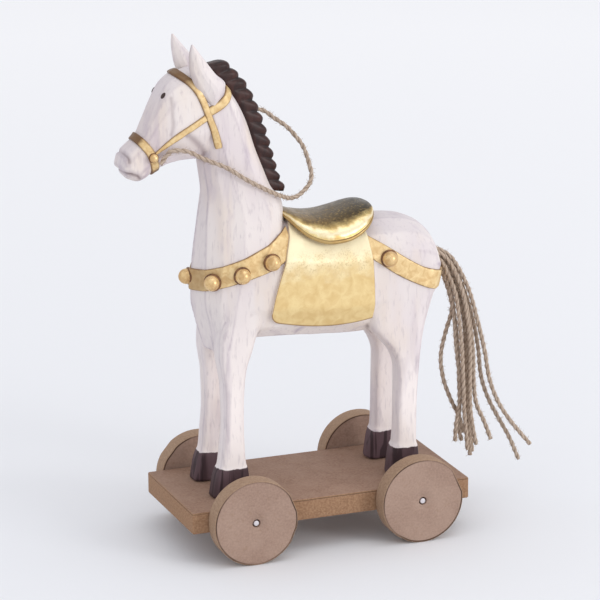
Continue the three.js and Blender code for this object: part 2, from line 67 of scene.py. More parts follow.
# The camera stands where the photograph was taken from, for a square picture
photoView = {
    "azimuth": 159.07, "elevation": 15.80, "roll": -0.40, "distance": 1.7964, "lens": 199.45, "sensor": 36,
    "clip": (0.05, 60), "aimX": 0.0038, "aimZ": 0.1294,
}


def linked(name, data):
    made = bpy.data.objects.new(name, data)
    bpy.context.collection.objects.link(made)
    return made


def placeCamera(view):
    azimuth, elevation, roll = (math.radians(view[key]) for key in ("azimuth", "elevation", "roll"))
    level = math.cos(elevation)
    back = Vector((math.sin(azimuth) * level, -math.cos(azimuth) * level, math.sin(elevation)))
    right = Vector((0, 0, 1)).cross(back).normalized()
    up = back.cross(right)
    leanRight = right * math.cos(roll) + up * math.sin(roll)
    leanUp = up * math.cos(roll) - right * math.sin(roll)
    eye = Vector((middleX + view["aimX"], 0, view["aimZ"])) + back * view["distance"]
    lens = bpy.data.cameras.new("photoCamera")
    lens.lens, lens.sensor_width = view["lens"], view["sensor"]
    lens.clip_start, lens.clip_end = view["clip"]
    camera = linked("photoCamera", lens)
    turn = Matrix((leanRight, leanUp, back)).transposed()
    camera.matrix_world = Matrix.Translation(eye) @ turn.to_4x4()
    bpy.context.scene.camera = camera


placeCamera(photoView)
print("camera placed")


def paint(red, green, blue):  # a colour as it looks on screen, 0 to 255
    share = [value / 255 for value in (red, green, blue)]
    return (*[c / 12.92 if c <= 0.04045 else ((c + 0.055) / 1.055) ** 2.4 for c in share], 1)


class Graph:  # a node tree, for a material or for geometry
    def __init__(self, tree):
        self.tree = tree

    def feed(self, socket, value):
        if isinstance(value, bpy.types.NodeSocket):
            self.tree.links.new(value, socket)
        else:
            socket.default_value = value

    def node(self, kind, inputs=None, **options):
        made = self.tree.nodes.new(kind)
        for key, value in options.items():
            setattr(made, key, value)
        for key, value in (inputs or {}).items():
            self.feed(made.inputs[key], value)
        return made

    def reckon(self, operation, *values):
        return self.node("ShaderNodeMath", dict(enumerate(values)), operation=operation).outputs[0]

    def times(self, first, second):
        return self.reckon("MULTIPLY", first, second)

    def vector(self, **parts):
        return self.node("ShaderNodeCombineXYZ", parts).outputs[0]

    def shape(self, kind, inputs):
        return self.node("GeometryNode" + kind, inputs).outputs[0]


class Surface(Graph):  # a material, painted in coats one over the other
    def __init__(self, name):
        self.material = bpy.data.materials.new(name)
        self.material.use_nodes = True
        super().__init__(self.material.node_tree)
        self.shader = self.tree.nodes["Principled BSDF"]
        place = self.node("ShaderNodeTexCoord")
        self.spot, self.uv = place.outputs["Object"], place.outputs["UV"]

    def axis(self, vector, name):
        return self.node("ShaderNodeSeparateXYZ", {"Vector": vector}).outputs[name]

    def facing(self, axis, kind="Normal"):
        return self.axis(self.node("ShaderNodeNewGeometry").outputs[kind], axis)

    def attribute(self, name):
        return self.node("ShaderNodeAttribute", attribute_name=name).outputs["Fac"]

    def length(self, vector):
        return self.node("ShaderNodeVectorMath", {0: vector}, operation="LENGTH").outputs["Value"]

    def away(self, value, middle=0.0):
        return self.reckon("ABSOLUTE", self.reckon("SUBTRACT", value, middle))

    def band(self, value, low, high, start=0.0, end=1.0):  # from start to end as value goes from low to high
        return self.node("ShaderNodeMapRange", {
            "Value": value, "From Min": low, "From Max": high, "To Min": start, "To Max": end,
        }).outputs["Result"]

    def grain(self, scale, detail=3.0, stretch=(1, 1, 1), distortion=0.0, place=None):
        place = self.spot if place is None else place
        mapped = self.node("ShaderNodeMapping", {"Vector": place, "Scale": stretch}).outputs[0]
        return self.node("ShaderNodeTexNoise", {
            "Vector": mapped, "Scale": scale, "Detail": detail, "Distortion": distortion,
        }).outputs["Fac"]

    def blend(self, factor, *colours):
        first, second = (paint(*c) if isinstance(c, tuple) else c for c in colours)
        return self.node("ShaderNodeMix", {0: factor, 6: first, 7: second},
                         data_type="RGBA", clamp_factor=True).outputs[2]

    def ground(self, factor, first, second, low=None, high=None):  # the first coat, of two colours
        self.colour = self.blend(factor if low is None else self.band(factor, low, high), first, second)

    def coat(self, colour, factor, *span):  # over the last coat, by a factor or by the span of one
        self.colour = self.blend(self.band(factor, *span) if span else factor, self.colour, colour)

    def finish(self, roughness, bump=None, **others):
        self.feed(self.shader.inputs["Roughness"], roughness)
        for name, value in others.items():
            self.feed(self.shader.inputs[shaderInputs[name]], value)
        if bump:
            inputs = dict(zip(("Height", "Strength", "Distance"), bump))
            self.feed(self.shader.inputs["Normal"], self.node("ShaderNodeBump", inputs).outputs[0])
        return self.done()

    def done(self):
        self.feed(self.shader.inputs["Base Color"], self.colour)
        return self.material


shaderInputs = {"specular": "Specular IOR Level", "metallic": "Metallic"}


# Mesh helpers
def asObject(name, vertices, faces, materials=(), uv=None, slots=None):
    mesh = bpy.data.meshes.new(name)
    mesh.from_pydata([tuple(v) for v in vertices], [], [tuple(f) for f in faces])
    for material in materials:
        mesh.materials.append(material)
    if len(faces):
        mesh.polygons.foreach_set("use_smooth", [True] * len(faces))
    if slots is not None:
        mesh.polygons.foreach_set("material_index", slots)
    if uv is not None:
        layer = mesh.uv_layers.new(name="UVMap")
        corners = np.zeros(len(mesh.loops), np.int32)
        mesh.loops.foreach_get("vertex_index", corners)
        layer.data.foreach_set("uv", np.asarray(uv, np.float32)[corners].ravel())
    mesh.update()
    return linked(name, mesh)


def addAttribute(piece, label, values):
    layer = piece.data.attributes.new(label, "FLOAT", "POINT")
    layer.data.foreach_set("value", np.asarray(values, np.float32))


def finishPiece(piece, nodes=(), body=mainBody):
    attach(piece, body)
    if nodes:
        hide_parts(*nodes)
    print("made", piece.name, len(piece.data.polygons), "faces")
    return piece


def loft(rings, closedPath=False):  # skins rings of points, and closes the ends with a fan
    rings = np.asarray(rings, float)
    count, size = rings.shape[:2]
    vertices = rings.reshape(-1, 3)
    pairs = [(j, (j + 1) % size) for j in range(size)]
    faces = []
    for i in range(count if closedPath else count - 1):
        a, b = i * size, (i + 1) % count * size
        faces += [(a + j, a + k, b + k, b + j) for j, k in pairs]
    if not closedPath:
        first, last, tail = count * size, count * size + 1, (count - 1) * size
        vertices = np.vstack([vertices, rings[0].mean(0), rings[-1].mean(0)])
        faces += [(first, k, j) for j, k in pairs] + [(tail + j, tail + k, last) for j, k in pairs]
    return outward(vertices, faces)


def outward(vertices, faces):  # turns the faces round if they point inwards
    volume = 0
    for face in faces:
        a = vertices[face[0]]
        for b, c in zip(face[1:-1], face[2:]):
            volume += np.dot(a, np.cross(vertices[b], vertices[c]))
    return vertices, (faces if volume > 0 else [tuple(reversed(f)) for f in faces])


def mergedMesh(name, lofts, materials=()):
    vertices, faces = [], []
    for points, skin in lofts:
        faces += [tuple(i + len(vertices) for i in face) for face in skin]
        vertices += list(points)
    return asObject(name, vertices, faces, materials)


def curve(spans, end, steps):  # through spans, each of two points and the slopes there
    fine = [a * (1 + 2 * t) * (1 - t) ** 2 + m * t * (1 - t) ** 2 + b * t * t * (3 - 2 * t)
            + n * t * t * (t - 1) for a, b, m, n in spans for t in np.arange(steps) / steps]
    return np.vstack([fine, end])


def neighbours(points):  # each two points of a line, with the one before them and the one after
    padded = np.vstack([2 * points[0] - points[1], points, 2 * points[-1] - points[-2]])
    return zip(padded, padded[1:], padded[2:], padded[3:])


def catmull(points, steps):  # a smooth line through the points, of any dimension
    points = np.asarray(points, float)
    return curve([(b, c, (c - a) / 2, (d - b) / 2) for a, b, c, d in neighbours(points)], points[-1:], steps)


def eased(points, steps):  # a smooth run from station to station that never overshoots
    points = np.asarray(points, float)
    gap = np.linalg.norm(np.diff(points[:, :4], axis=0), axis=1)[:, None]
    slope = np.diff(points, axis=0) / gap
    one, two = gap[1:] + 2 * gap[:-1], 2 * gap[1:] + gap[:-1]
    agree = slope[:-1] * slope[1:] > 0
    safe = np.where(agree, slope[:-1], 1), np.where(agree, slope[1:], 1)
    inner = np.where(agree, (one + two) / (two / safe[0] + one / safe[1]), 0)
    slopes = np.vstack([slope[:1], inner, slope[-1:]])
    return curve(zip(points, points[1:], slopes[:-1] * gap, slopes[1:] * gap), points[-1:], steps)


def threaded(points, steps):  # a twine's smooth line, which doesn't overshoot between close points
    spans = []
    for a, b, c, d in neighbours(points):
        p, q, r = (max(np.linalg.norm(v), 1e-9) ** 0.5 for v in (b - a, c - b, d - c))
        spans.append((b, c, ((b - a) / p - (c - a) / (p + q) + (c - b) / q) * q,
                      ((c - b) / q - (d - b) / (q + r) + (d - c) / r) * q))
    return curve(spans, points[-1:], steps)


def quadratic(a, b, c, count=24):
    t = np.linspace(0, 1, count)[:, None]
    return np.array(a) * (1 - t) ** 2 + 2 * np.array(b) * t * (1 - t) + np.array(c) * t**2


def tangents(line):
    ways = np.gradient(line, axis=0)
    return ways / np.linalg.norm(ways, axis=1)[:, None]


def atDistances(line, wanted):
    steps = np.linalg.norm(np.diff(line, axis=0), axis=1)
    along = np.concatenate([[0], np.cumsum(steps)])
    return np.stack([np.interp(wanted, along, line[:, k]) for k in range(line.shape[1])], 1)


def lineLength(line):
    return float(np.linalg.norm(np.diff(line, axis=0), axis=1).sum())


def evenly(line, count):
    return atDistances(line, np.linspace(0, lineLength(line), count))


def circle(count):
    return np.linspace(0, 2 * math.pi, count, endpoint=False)


# Jute twine: two plies twisted together, in the tail and the reins
jute = {
    "diameter": 2.5 * mm, "pitch": 8.5 * mm, "sides": 14, "step": 0.5 * mm, "smoothing": 12,
    "flattening": 0.12, "plySwell": 1.15, "roughness": 0.05, "roughAlong": 700, "roughAround": 3.1,
    "pathStep": 3,
}


def juteMaterial():
    look = Surface("jute")
    along, turn = look.axis(look.uv, "X"), look.axis(look.uv, "Y")
    twist = look.reckon("ADD", look.times(turn, 2.0), look.times(along, 160.0))
    slanted = look.vector(X=look.times(along, 60.0), Y=twist)
    fibre = look.grain(9.0, 4.0, (0.25, 3.0, 1), place=slanted)
    crown = look.band(look.reckon("COSINE", look.times(turn, 4 * math.pi)), -1, 1)
    look.ground(fibre, (168, 147, 129), (216, 198, 180), 0.35, 0.65)
    look.coat((184, 163, 144), look.grain(110.0), 0.4, 0.7, 0, 0.5)
    # Painted shade: the grooves between the two plies are darkened
    look.coat((112, 92, 78), crown, 0, 0.45, 0.6, 0)
    return look.finish(0.9, (fibre, 0.5, 0.25 * mm), specular=0.2)


juteTwine = juteMaterial()
twineSkins = []


def layTwine(name, node, points, seed, **lie):
    line = threaded(points, jute["smoothing"])
    length = lineLength(line)
    count, sides, flattening = round(length / jute["step"]), jute["sides"], jute["flattening"]
    line = evenly(line, count)
    ways = tangents(line)
    side = np.cross(ways[0], (0.2, 1, 0.1))
    rings, uv = [], []
    for i, (centre, way) in enumerate(zip(line, ways)):
        side = side - way * np.dot(side, way)
        side /= np.linalg.norm(side)
        other = np.cross(way, side)
        along = i * length / (count - 1)
        spin = 2 * math.pi * along / jute["pitch"] + seed
        ring = []
        for j in range(sides):
            angle = 2 * math.pi * j / sides
            lobe = 1 - flattening + flattening * math.cos(2 * angle) * jute["plySwell"]
            hair = noise.noise(Vector((along * jute["roughAlong"], j * jute["roughAround"], seed)))
            reach = jute["diameter"] / 2 * lobe * (1 + jute["roughness"] * hair)
            ring.append(centre + (side * math.cos(angle + spin) + other * math.sin(angle + spin)) * reach)
            uv.append((along, j / sides))
        rings.append(ring)
    skin = loft(rings)
    twineSkins.append(skin)
    piece = asObject(name, *skin, [juteTwine], uv=uv + [(0, 0)] * 2)
    finishPiece(piece, [node])


# Tail: each strand's slot in the hole, across and up, then its points back from the hole, to
# the left, and down
tail = {"root": (-73.6, 118.4), "tilt": 22, "depth": 7, "seedStep": 1.7}
strands = [
    ((1.45, 2.9), [[5, 1.5, -0.9], [11, 1.6, 3.8], [20.7, 1.8, 21.3], [26.5, 2, 40.4], [30.9, 2.3, 58.4],
     [34.2, 2.6, 76.4], [39.2, 3, 89.4], [46.7, 3.4, 101.4], [58.7, 3.8, 116.4]]),
    ((1.45, 0), [[5.1, 1.6, 2.7], [10.1, 1.7, 9.2], [17.1, 1.8, 22.3], [21.8, 1.9, 40.4], [24.2, 1.9, 58.4],
     [24.8, 1.9, 76.4], [26.4, 2, 89.4], [30.8, 2.2, 99.4], [35.2, 2.4, 110.9]]),
    ((1.45, -2.9), [[3.8, 1.7, 6], [6.6, 1.8, 11.7], [10.8, 1.9, 24.4], [12.9, 2, 39.4], [13.6, 2, 50.4],
     [14.9, 2, 62.4], [16.6, 2, 74.4], [16.2, 2.2, 88.4], [14, 2.4, 100.4], [13.4, 2.6, 109.4]]),
    ((-1.45, 2.9), [[5, -1.5, -0.8], [10.6, -1.6, 4.2], [19.5, -1.8, 22.3], [25.4, -2, 40.4], [29, -2, 58.4],
     [30.8, -2, 74.4], [35, -2.2, 87.4], [41.2, -2.6, 99.4], [48.8, -3, 112.9], [55, -3.4, 126.9]]),
    ((-1.45, 0), [[4.9, -1.6, 3.1], [9.6, -1.7, 9.9], [16.2, -1.8, 23.4], [20.6, -1.9, 40.4],
     [22.8, -1.9, 58.4], [23, -1.9, 76.4], [23.1, -1.9, 92.4], [24, -2, 107.4], [24.6, -2.1, 120.4]]),
    ((-1.45, -2.9), [[3.8, -1.7, 6.2], [6.7, -1.8, 12.2], [11.2, -1.9, 24.4], [14.8, -2, 40.4],
     [16.8, -2, 58.4], [17.6, -2, 76.4], [18, -2, 90.4], [17.6, -2, 102.4], [19.2, -2, 111]]),
    ((4.35, 1.45), [[5, 4.5, 1.1], [9.9, 4.7, 7.3], [16.1, 4.9, 22.3], [19.6, 5, 40.4], [21.2, 5, 58.4],
     [21.2, 5, 76.4], [21.6, 5.1, 92.4], [23.4, 5.3, 104.4], [25, 5.4, 111.9]]),
    ((4.35, -1.45), [[4.2, 4.5, 4.9], [7.6, 4.7, 11.7], [12, 4.9, 23.4], [14.6, 5, 40.4], [16.2, 5, 58.4],
     [17.2, 5, 76.4], [17.8, 5, 92.4], [19, 5.1, 104.4], [19.8, 5.2, 114.4]]),
    ((-4.35, 1.45), [[5, -4.5, 1.1], [10.1, -4.7, 7.6], [17.1, -4.9, 22.3], [21.2, -5, 40.4],
     [22.8, -5, 58.4], [23.6, -5, 76.4], [24.2, -5, 92.4], [26, -5.1, 104.4], [27.2, -5.2, 119.4]]),
    ((-4.35, -1.45), [[3.9, -4.5, 5.1], [8.1, -4.7, 12.2], [13.2, -4.9, 23.4], [14.2, -5, 35.4],
     [10.2, -5.1, 49.4], [7.8, -5.2, 61.9], [9.6, -5.2, 75.4], [14.2, -5.1, 87.9], [19.2, -5, 98.4],
     [21.6, -5, 107.4]]),
]


def hangTail():
    tilt = math.radians(tail["tilt"])
    outwards = np.array([-math.cos(tilt), 0, -math.sin(tilt)])
    upwards = np.array([-math.sin(tilt), 0, math.cos(tilt)])
    hole = np.array([tail["root"][0], 0, tail["root"][1]])
    for number, ((across, up), drop) in enumerate(strands, 1):
        mouth = hole + upwards * up + np.array([0, across, 0])
        points = [hole + np.array([-back, left, -down]) for back, left, down in drop]
        points = fromDrawing([mouth - outwards * tail["depth"], mouth, *points])
        layTwine(f"tailTwine{number:02d}", f"tail_strand_{number:02d}", points, number * tail["seedStep"],
                 far_end="bare", stiffness="medium", lay="hanging")


# Reins: x from the middle of the board, y, and height above the ground, in millimetres
reinSeed = 0.4
reinRoute = [
    [86, 12.6, 214.8], [83.6, 13, 218.4], [80.4, 13.9, 221.7], [75.8, 14.8, 222], [70.6, 15.6, 220.7],
    [65.4, 16.2, 217.8], [58.6, 16.6, 214.5], [50.2, 17, 210.5], [42.1, 17.8, 204.9], [33.5, 18, 199.6],
    [23.4, 14.6, 193.9], [16.7, 10.2, 190.4], [11.4, 6, 188.3], [6.2, 3, 188.1], [1.1, 0, 190.1],
    [-3.4, -2.5, 193.5], [-5.2, -5, 197.5], [-4.8, -7.5, 203], [-2.6, -10.5, 211.7], [0.7, -12.5, 217],
    [5.6, -14.5, 222.8], [11.7, -16.4, 227.4], [17.7, -17, 231.9], [28, -17, 234], [40, -16.8, 232.5],
    [52, -16.6, 229], [62, -16.3, 225.4], [71, -15.6, 222], [79, -14.2, 219.2], [86, -12.6, 214.8],
]

hangTail()
layTwine("reinsTwine", "reins", np.array(reinRoute) * mm + np.array([middleX, 0, 0]), reinSeed,
         far_end="object", stiffness="stiff", lay="loose")
print("twine laid")

# The figure. A station runs from point a to point b in the side view and from yIn to yOut
# across, with flats faceA and faceB, a flank between flankA and flankB, and bows in between.
carving = {
    "bevelSwell": 0.05, "easing": 4, "voxel": 0.85 * mm, "softening": 1, "blending": 26,
    "knifeWander": 0.16 * mm, "knifeSize": 11 * mm, "knifeStretch": 0.35, "push": (0.55, -0.5),
    "blendFrom": 1.3, "bendRounds": 2, "bendSpread": 0.6, "edgeBend": (0.018, 0.032),
    "hollowBend": (0.02, 0.05), "hollowCut": 0.8,
}
trunkShape = [0.36, 0.5, 0.42, 0.4, 0.8, 0.5]
trunkStations = [[x, top, x, under, -half, half, *trunkShape] for x, top, under, half in (
    (57, 124, 88, 13), (50, 138, 85, 20), (36, 146, 84.5, 22), (20, 147, 84, 22.8), (0, 144, 82.5, 23),
    (-20, 143, 81.5, 23), (-38, 144, 82, 22.6), (-52, 143, 87, 22), (-63, 138.5, 92, 20.8),
    (-69.6, 131.6, 96.6, 17.2), (-73.6, 124, 104, 11),
)]
neckStations = [[front, z, back, z, -half, half, face, 0.34, flank, 0.42, bow, 1.6]
                for z, front, back, half, face, bow, flank in (
    (79, 59, 44, 19.5, 0.5, 2.6, 0.2), (88, 62, 38, 20.8, 0.48, 4.2, 0.1),
    (98, 64.6, 33, 21.6, 0.47, 4.7, 0.02), (107, 66.4, 29, 21.8, 0.465, 4.8, 0),
    (126, 65.7, 20, 21.3, 0.465, 4.7, 0.04), (135, 64.7, 16, 20.4, 0.46, 4.2, 0.1),
    (146, 63, 13.5, 18.8, 0.44, 3.2, 0.16), (156, 61.2, 14, 17.2, 0.43, 2.4, 0.2),
    (166, 59.8, 20.6, 15.6, 0.42, 1.9, 0.24), (175, 60.6, 24.2, 14.6, 0.42, 1.5, 0.28),
    (187, 62, 28.8, 13.6, 0.42, 1, 0.3), (203, 66, 33.8, 12.8, 0.42, 1, 0.34),
    (215, 67, 39.8, 12.2, 0.42, 1, 0.34), (223, 68, 46, 11.6, 0.42, 1, 0.34),
    (231.5, 69, 53, 10.2, 0.42, 1, 0.34),
)]
headStations = [[tx, tz, ux, uz, -half, half, 0.46, 0.5, 0.5, 0.42, 0.8, 0.6]
                for tx, tz, ux, uz, half in (
    (50, 226, 48, 196, 9), (63, 232.5, 55, 188, 12.2), (73.5, 231, 64.5, 184.4, 13),
    (80.3, 226.6, 72, 184.2, 12.6), (86, 217.4, 78, 183.2, 11.4), (91, 207.2, 83.2, 181.2, 9.9),
    (95.4, 198.8, 87.6, 179, 9), (100.6, 194.6, 91.6, 176, 9.3), (104.6, 190.6, 95.8, 174.6, 9.2),
    (106.6, 184.6, 101.2, 176.4, 6.6),
)]
legShape = [0.58, 0.55, 0.55, 0.55, 0.4, 0.4]
foreLeg = [
    (107, 46, 26, 2, 20.4), (97, 53, 31, 3, 21.2), (88, 57.2, 35, 4.4, 21.6), (79, 57.6, 38, 6.6, 21.8),
    (71, 56.8, 41, 8.6, 21.6), (62, 55.6, 42.4, 9.6, 21.3), (45, 55.3, 43.2, 10, 21.1),
    (28, 56.6, 42.9, 9.9, 21.3), (16.2, 58, 42, 9.6, 21.7), (15.4, 58.8, 41.4, 9.1, 22.2),
    (0, 62.4, 40.4, 8.8, 22.6),
]
hindLeg = [
    (118, -44, -73, 2, 20.5), (105, -34, -69, 3, 22), (94, -29, -65, 4, 22.7), (86, -29.5, -62.4, 5, 22.8),
    (78, -35.5, -60.6, 6.6, 22.6), (70, -42, -59.4, 8.2, 22.2), (61, -44.8, -58.5, 9.3, 21.8),
    (40, -44.4, -57.3, 10, 21.3), (17.2, -43.6, -57, 9.6, 21.7), (16.4, -42.9, -57.6, 9.1, 22.2),
    (0, -39.9, -58.8, 8.8, 22.6),
]


def sectionRing(station):
    ax, az, bx, bz, yIn, yOut, faceA, faceB, flankA, flankB, bowA, bowB = station
    middle = np.array([(ax + bx) / 2, (yIn + yOut) / 2, (az + bz) / 2])
    along = np.array([(bx - ax) / 2, 0, (bz - az) / 2])
    half = np.linalg.norm(along)
    halfWidth = (yOut - yIn) / 2
    cornerA, cornerB = np.array([-1 + bowA / half, faceA]), np.array([1 - bowB / half, faceB])
    flank = [np.array([-flankA, 1]), np.array([flankB, 1])]
    swell = 0.5 + carving["bevelSwell"]
    outline = [cornerA, (cornerA + flank[0]) * swell, *flank, (cornerB + flank[1]) * swell, cornerB]
    mirrored = [np.array([u, -v]) for u, v in reversed(outline)]
    outline = [np.array([-1, 0]), *outline, np.array([1, 0]), *mirrored]
    return fromDrawing([middle + along * u + np.array([0, v * halfWidth, 0]) for u, v in outline])


def bodyRings(stations, easing=carving["easing"]):
    return [sectionRing(station) for station in eased(stations, easing)]


def legStations(leg, side):
    return [[front, z, back, z, *sorted((side * yIn, side * yOut)), *legShape]
            for z, front, back, yIn, yOut in leg]


def remeshed(rough, voxel):  # one closed skin round all the lofts
    modifier = rough.modifiers.new("skin", "REMESH")
    modifier.mode, modifier.voxel_size = "VOXEL", voxel
    graph = bpy.context.evaluated_depsgraph_get()
    mesh = bpy.data.meshes.new_from_object(rough.evaluated_get(graph))
    bpy.data.objects.remove(rough)
    points = np.zeros(len(mesh.vertices) * 3)
    mesh.vertices.foreach_get("co", points)
    edges = np.zeros(len(mesh.edges) * 2, int)
    mesh.edges.foreach_get("vertices", edges)
    faces = [tuple(face.vertices) for face in mesh.polygons]
    bpy.data.meshes.remove(mesh)
    return points.reshape(-1, 3), edges.reshape(-1, 2), faces


def aroundEach(values, edges):  # the sum of what each point's neighbours have
    total = np.zeros_like(values)
    np.add.at(total, edges[:, 0], values[edges[:, 1]])
    np.add.at(total, edges[:, 1], values[edges[:, 0]])
    return total


def relaxed(points, edges, weight, rounds):  # moves each point towards its neighbours' middle
    counts = np.bincount(edges.ravel(), minlength=len(points))[:, None]
    inward, back = carving["push"]
    for turn in range(rounds):
        for push in (inward, back if turn < rounds - 1 else 0):
            points = points + (aroundEach(points, edges) / counts - points) * (push * weight[:, None])
    return points


def pointNormals(points, faces):
    corners = np.array([face[:4] if len(face) >= 4 else (*face, face[-1]) for face in faces])
    a, b, c, d = (points[corners[:, k]] for k in range(4))
    across = np.cross(c - a, d - b)
    normals = np.zeros_like(points)
    for k in range(4):
        np.add.at(normals, corners[:, k], across)
    return normals / np.maximum(np.linalg.norm(normals, axis=1), 1e-12)[:, None]


def sharpness(points, edges, normals, rounds):  # how far each point stands out of its surroundings
    counts = np.bincount(edges.ravel(), minlength=len(points))
    bend = ((points - aroundEach(points, edges) / counts[:, None]) * normals).sum(1)
    spread = carving["bendSpread"]
    for _ in range(rounds):
        bend = (1 - spread) * bend + spread * aroundEach(bend, edges) / counts
    return bend


# Where the limbs run into the trunk, and so on: x, z and reach of each blend
blends = [
    (42, 92, 15), (52, 100, 12), (-48, 98, 17), (-34, 90, 10), (15, 151, 9), (60, 189, 8), (56, 229, 8),
    (-70, 104, 9), (48, 84, 9), (-62, 118, 12), (-70, 119, 8),
]

# Cuts made with a point: a line in the side view, its depth and reach in mm
cuts = {
    "mouth": ([[108, 181.4], [104, 180.6], [100.6, 180.2], [97.4, 178.8], [95.6, 176.8]], 0.9, 1.0),
    "nostril": ([[103.6, 190.6], [102.2, 188.8], [101.8, 186.8]], 0.8, 1.1),
    "cheek": ([[79.2, 219.6], [78.9, 212], [78.6, 205], [79.4, 200]], 0.35, 1.2),
    "jaw": ([[72, 200.5], [66, 195], [61.5, 189.5], [60, 184]], 0.5, 2.2),
}
cutting = {"smoothing": 10, "nearby": 25, "narrowing": 1.6}


def cutDepth(drawn):
    depth = np.zeros(len(drawn))
    for points, deepest, reach in cuts.values():
        line = catmull(points, cutting["smoothing"])
        near = np.full(len(drawn), 1e9)
        close = (abs(drawn[:, [0, 2]] - line.mean(0)) < cutting["nearby"]).all(1)
        flat = drawn[close][:, [0, 2]]
        near[close] = np.linalg.norm(flat[:, None] - line[None], axis=2).min(1)
        depth += deepest * np.exp(-((near / reach) ** 2) * cutting["narrowing"])
    return depth


def carveFigure():
    lofts = [loft(bodyRings(stations)) for stations in (trunkStations, neckStations, headStations)]
    for leg in (foreLeg, hindLeg):
        lofts += [loft(bodyRings(legStations(leg, side))) for side in (1, -1)]
    points, edges, faces = remeshed(mergedMesh("rough", lofts), carving["voxel"])
    drawn = (points - drawingOrigin) / drawingUnit
    weight = np.zeros(len(points))
    for x, z, reach in blends:
        gap = np.hypot(drawn[:, 0] - x, drawn[:, 2] - z)
        weight = np.maximum(weight, np.clip(carving["blendFrom"] - gap / reach, 0, 1))
    points = relaxed(points, edges, np.ones(len(points)), carving["softening"])
    points = relaxed(points, edges, weight, carving["blending"])
    normals = pointNormals(points, faces)
    strokes = points / carving["knifeSize"] * np.array([1, 1, carving["knifeStretch"]])
    wander = np.array([noise.noise(Vector(stroke)) for stroke in strokes])
    depth = cutDepth((points - drawingOrigin) / drawingUnit)
    points = points + normals * (wander * carving["knifeWander"] - depth * mm)[:, None]
    bend = sharpness(points, edges, pointNormals(points, faces), carving["bendRounds"]) / mm
    (edgeFrom, edgeSpan), (hollowFrom, hollowSpan) = carving["edgeBend"], carving["hollowBend"]
    # How much painted shade each point gets: from the depth of the cuts and from how hollow the surface is
    # there
    hollow = np.maximum(depth / carving["hollowCut"], (-bend - hollowFrom) / hollowSpan)
    return points, faces, np.clip((bend - edgeFrom) / edgeSpan, 0, 1), np.clip(hollow, 0, 1)


figurePoints, figureFaces, figureEdge, figureHollow = carveFigure()
figureTree = BVHTree.FromPolygons([Vector(p) for p in figurePoints], figureFaces)

# Edges that the knife left between facets: the corners of each section that they follow
facetEdges = {"front": [1, 3, 11, 13], "top": [1, 13], "reach": 0.5 * mm, "samples": 500, "strayed": 1.6 * mm}


def drawnEdges():  # how near each point of the figure is to one of those edges
    spots = []
    forelegs = [(legStations(foreLeg, side), "top") for side in (1, -1)]
    for stations, corners in [(neckStations, "front"), (trunkStations, "top"), *forelegs]:
        rings = np.array(bodyRings(stations))
        for corner in facetEdges[corners]:
            for point in evenly(rings[:, corner], facetEdges["samples"]):
                found = figureTree.find_nearest(Vector(point))
                if found[3] < facetEdges["strayed"]:
                    spots.append(found[0])
    near = KDTree(len(spots))
    for k, spot in enumerate(spots):
        near.insert(spot, k)
    near.balance()
    gaps = np.array([near.find(Vector(p))[2] for p in figurePoints])
    return np.exp(-((gaps / facetEdges["reach"]) ** 2))


figureEdge = np.maximum(figureEdge, drawnEdges())
print("figure carved", len(figureFaces))

# Heights in the drawing: where the painted light on the lower legs begins and ends, and the hooves' upper
# edge
whitewashed = {"paintedLightFrom": 50, "paintedLightTo": 100, "hoofTop": 15.9, "hoofRagged": 0.35 * mm, "hoofSoft": 0.15 * mm}


def whitewashMaterial():
    look = Surface("whitewash")
    streak = look.grain(88.0, 5.0, (1, 1, 0.14), 0.5)
    speck = look.grain(620.0, 3.0, (1, 1, 0.22))
    height = look.axis(look.spot, "Z")
    broken = look.times(look.attribute("carvedEdge"), look.band(streak, 0.38, 0.6, 0.25, 1))
    look.ground(look.grain(30.0, 3.0, (1, 1, 0.4)), (234, 225, 220), (221, 210, 211), 0.38, 0.66)
    paintedLightFrom, paintedLightTo = levelOf(whitewashed["paintedLightFrom"]), levelOf(whitewashed["paintedLightTo"])
    # Painted light: the lower legs are painted paler
    look.coat((250, 240, 236), height, paintedLightFrom, paintedLightTo, 0.75, 0)
    look.coat((228, 212, 198), look.grain(48.0, 3.0, (1, 1, 0.25)), 0.5, 0.68, 0, 0.7)
    look.coat((192, 178, 188), streak, 0.54, 0.7, 0, 0.75)
    look.coat((176, 164, 170), speck, 0.55, 0.72, 0, 0.35)
    look.coat((156, 140, 156), look.times(broken, 0.55))
    # Painted shade in the creases and along the cuts of mouth, nostril, cheek and jaw, and down the front of
    # each ear
    look.coat((128, 108, 112), look.times(look.attribute("hollow"), 0.9))
    # Painted shade: the faces that point forwards and those that point upwards are made greyer
    look.coat((204, 196, 203), look.facing("X"), 0.5, 0.95, 0, 0.35)  # the faces that point forwards
    look.coat((200, 192, 198), look.facing("Z"), 0.3, 0.9, 0, 0.55)  # and upwards
    ragged = whitewashed["hoofRagged"]
    edge = look.reckon("ADD", height, look.band(look.grain(260.0), 0.3, 0.7, -ragged, ragged))
    hoofTop, soft = levelOf(whitewashed["hoofTop"]), whitewashed["hoofSoft"]
    gouge = look.band(look.grain(210.0, 2.0, (1, 1, 0.12), 0.8), 0.52, 0.6, 0, 0.8)
    hoofPaint = look.blend(look.band(streak, 0.35, 0.7), (70, 50, 54), (106, 84, 90))
    look.coat(look.blend(gouge, hoofPaint, (44, 28, 32)), edge, hoofTop - soft, hoofTop + soft, 1, 0)
    bump = look.reckon("ADD", streak, look.times(speck, 0.4))
    return look.finish(0.6, (bump, 0.35, 0.35 * mm), specular=0.3)


whitewash = whitewashMaterial()
figure = asObject("horseFigure", figurePoints, figureFaces, [whitewash])
addAttribute(figure, "carvedEdge", figureEdge)
addAttribute(figure, "hollow", figureHollow)
finishPiece(figure, ["horse"])
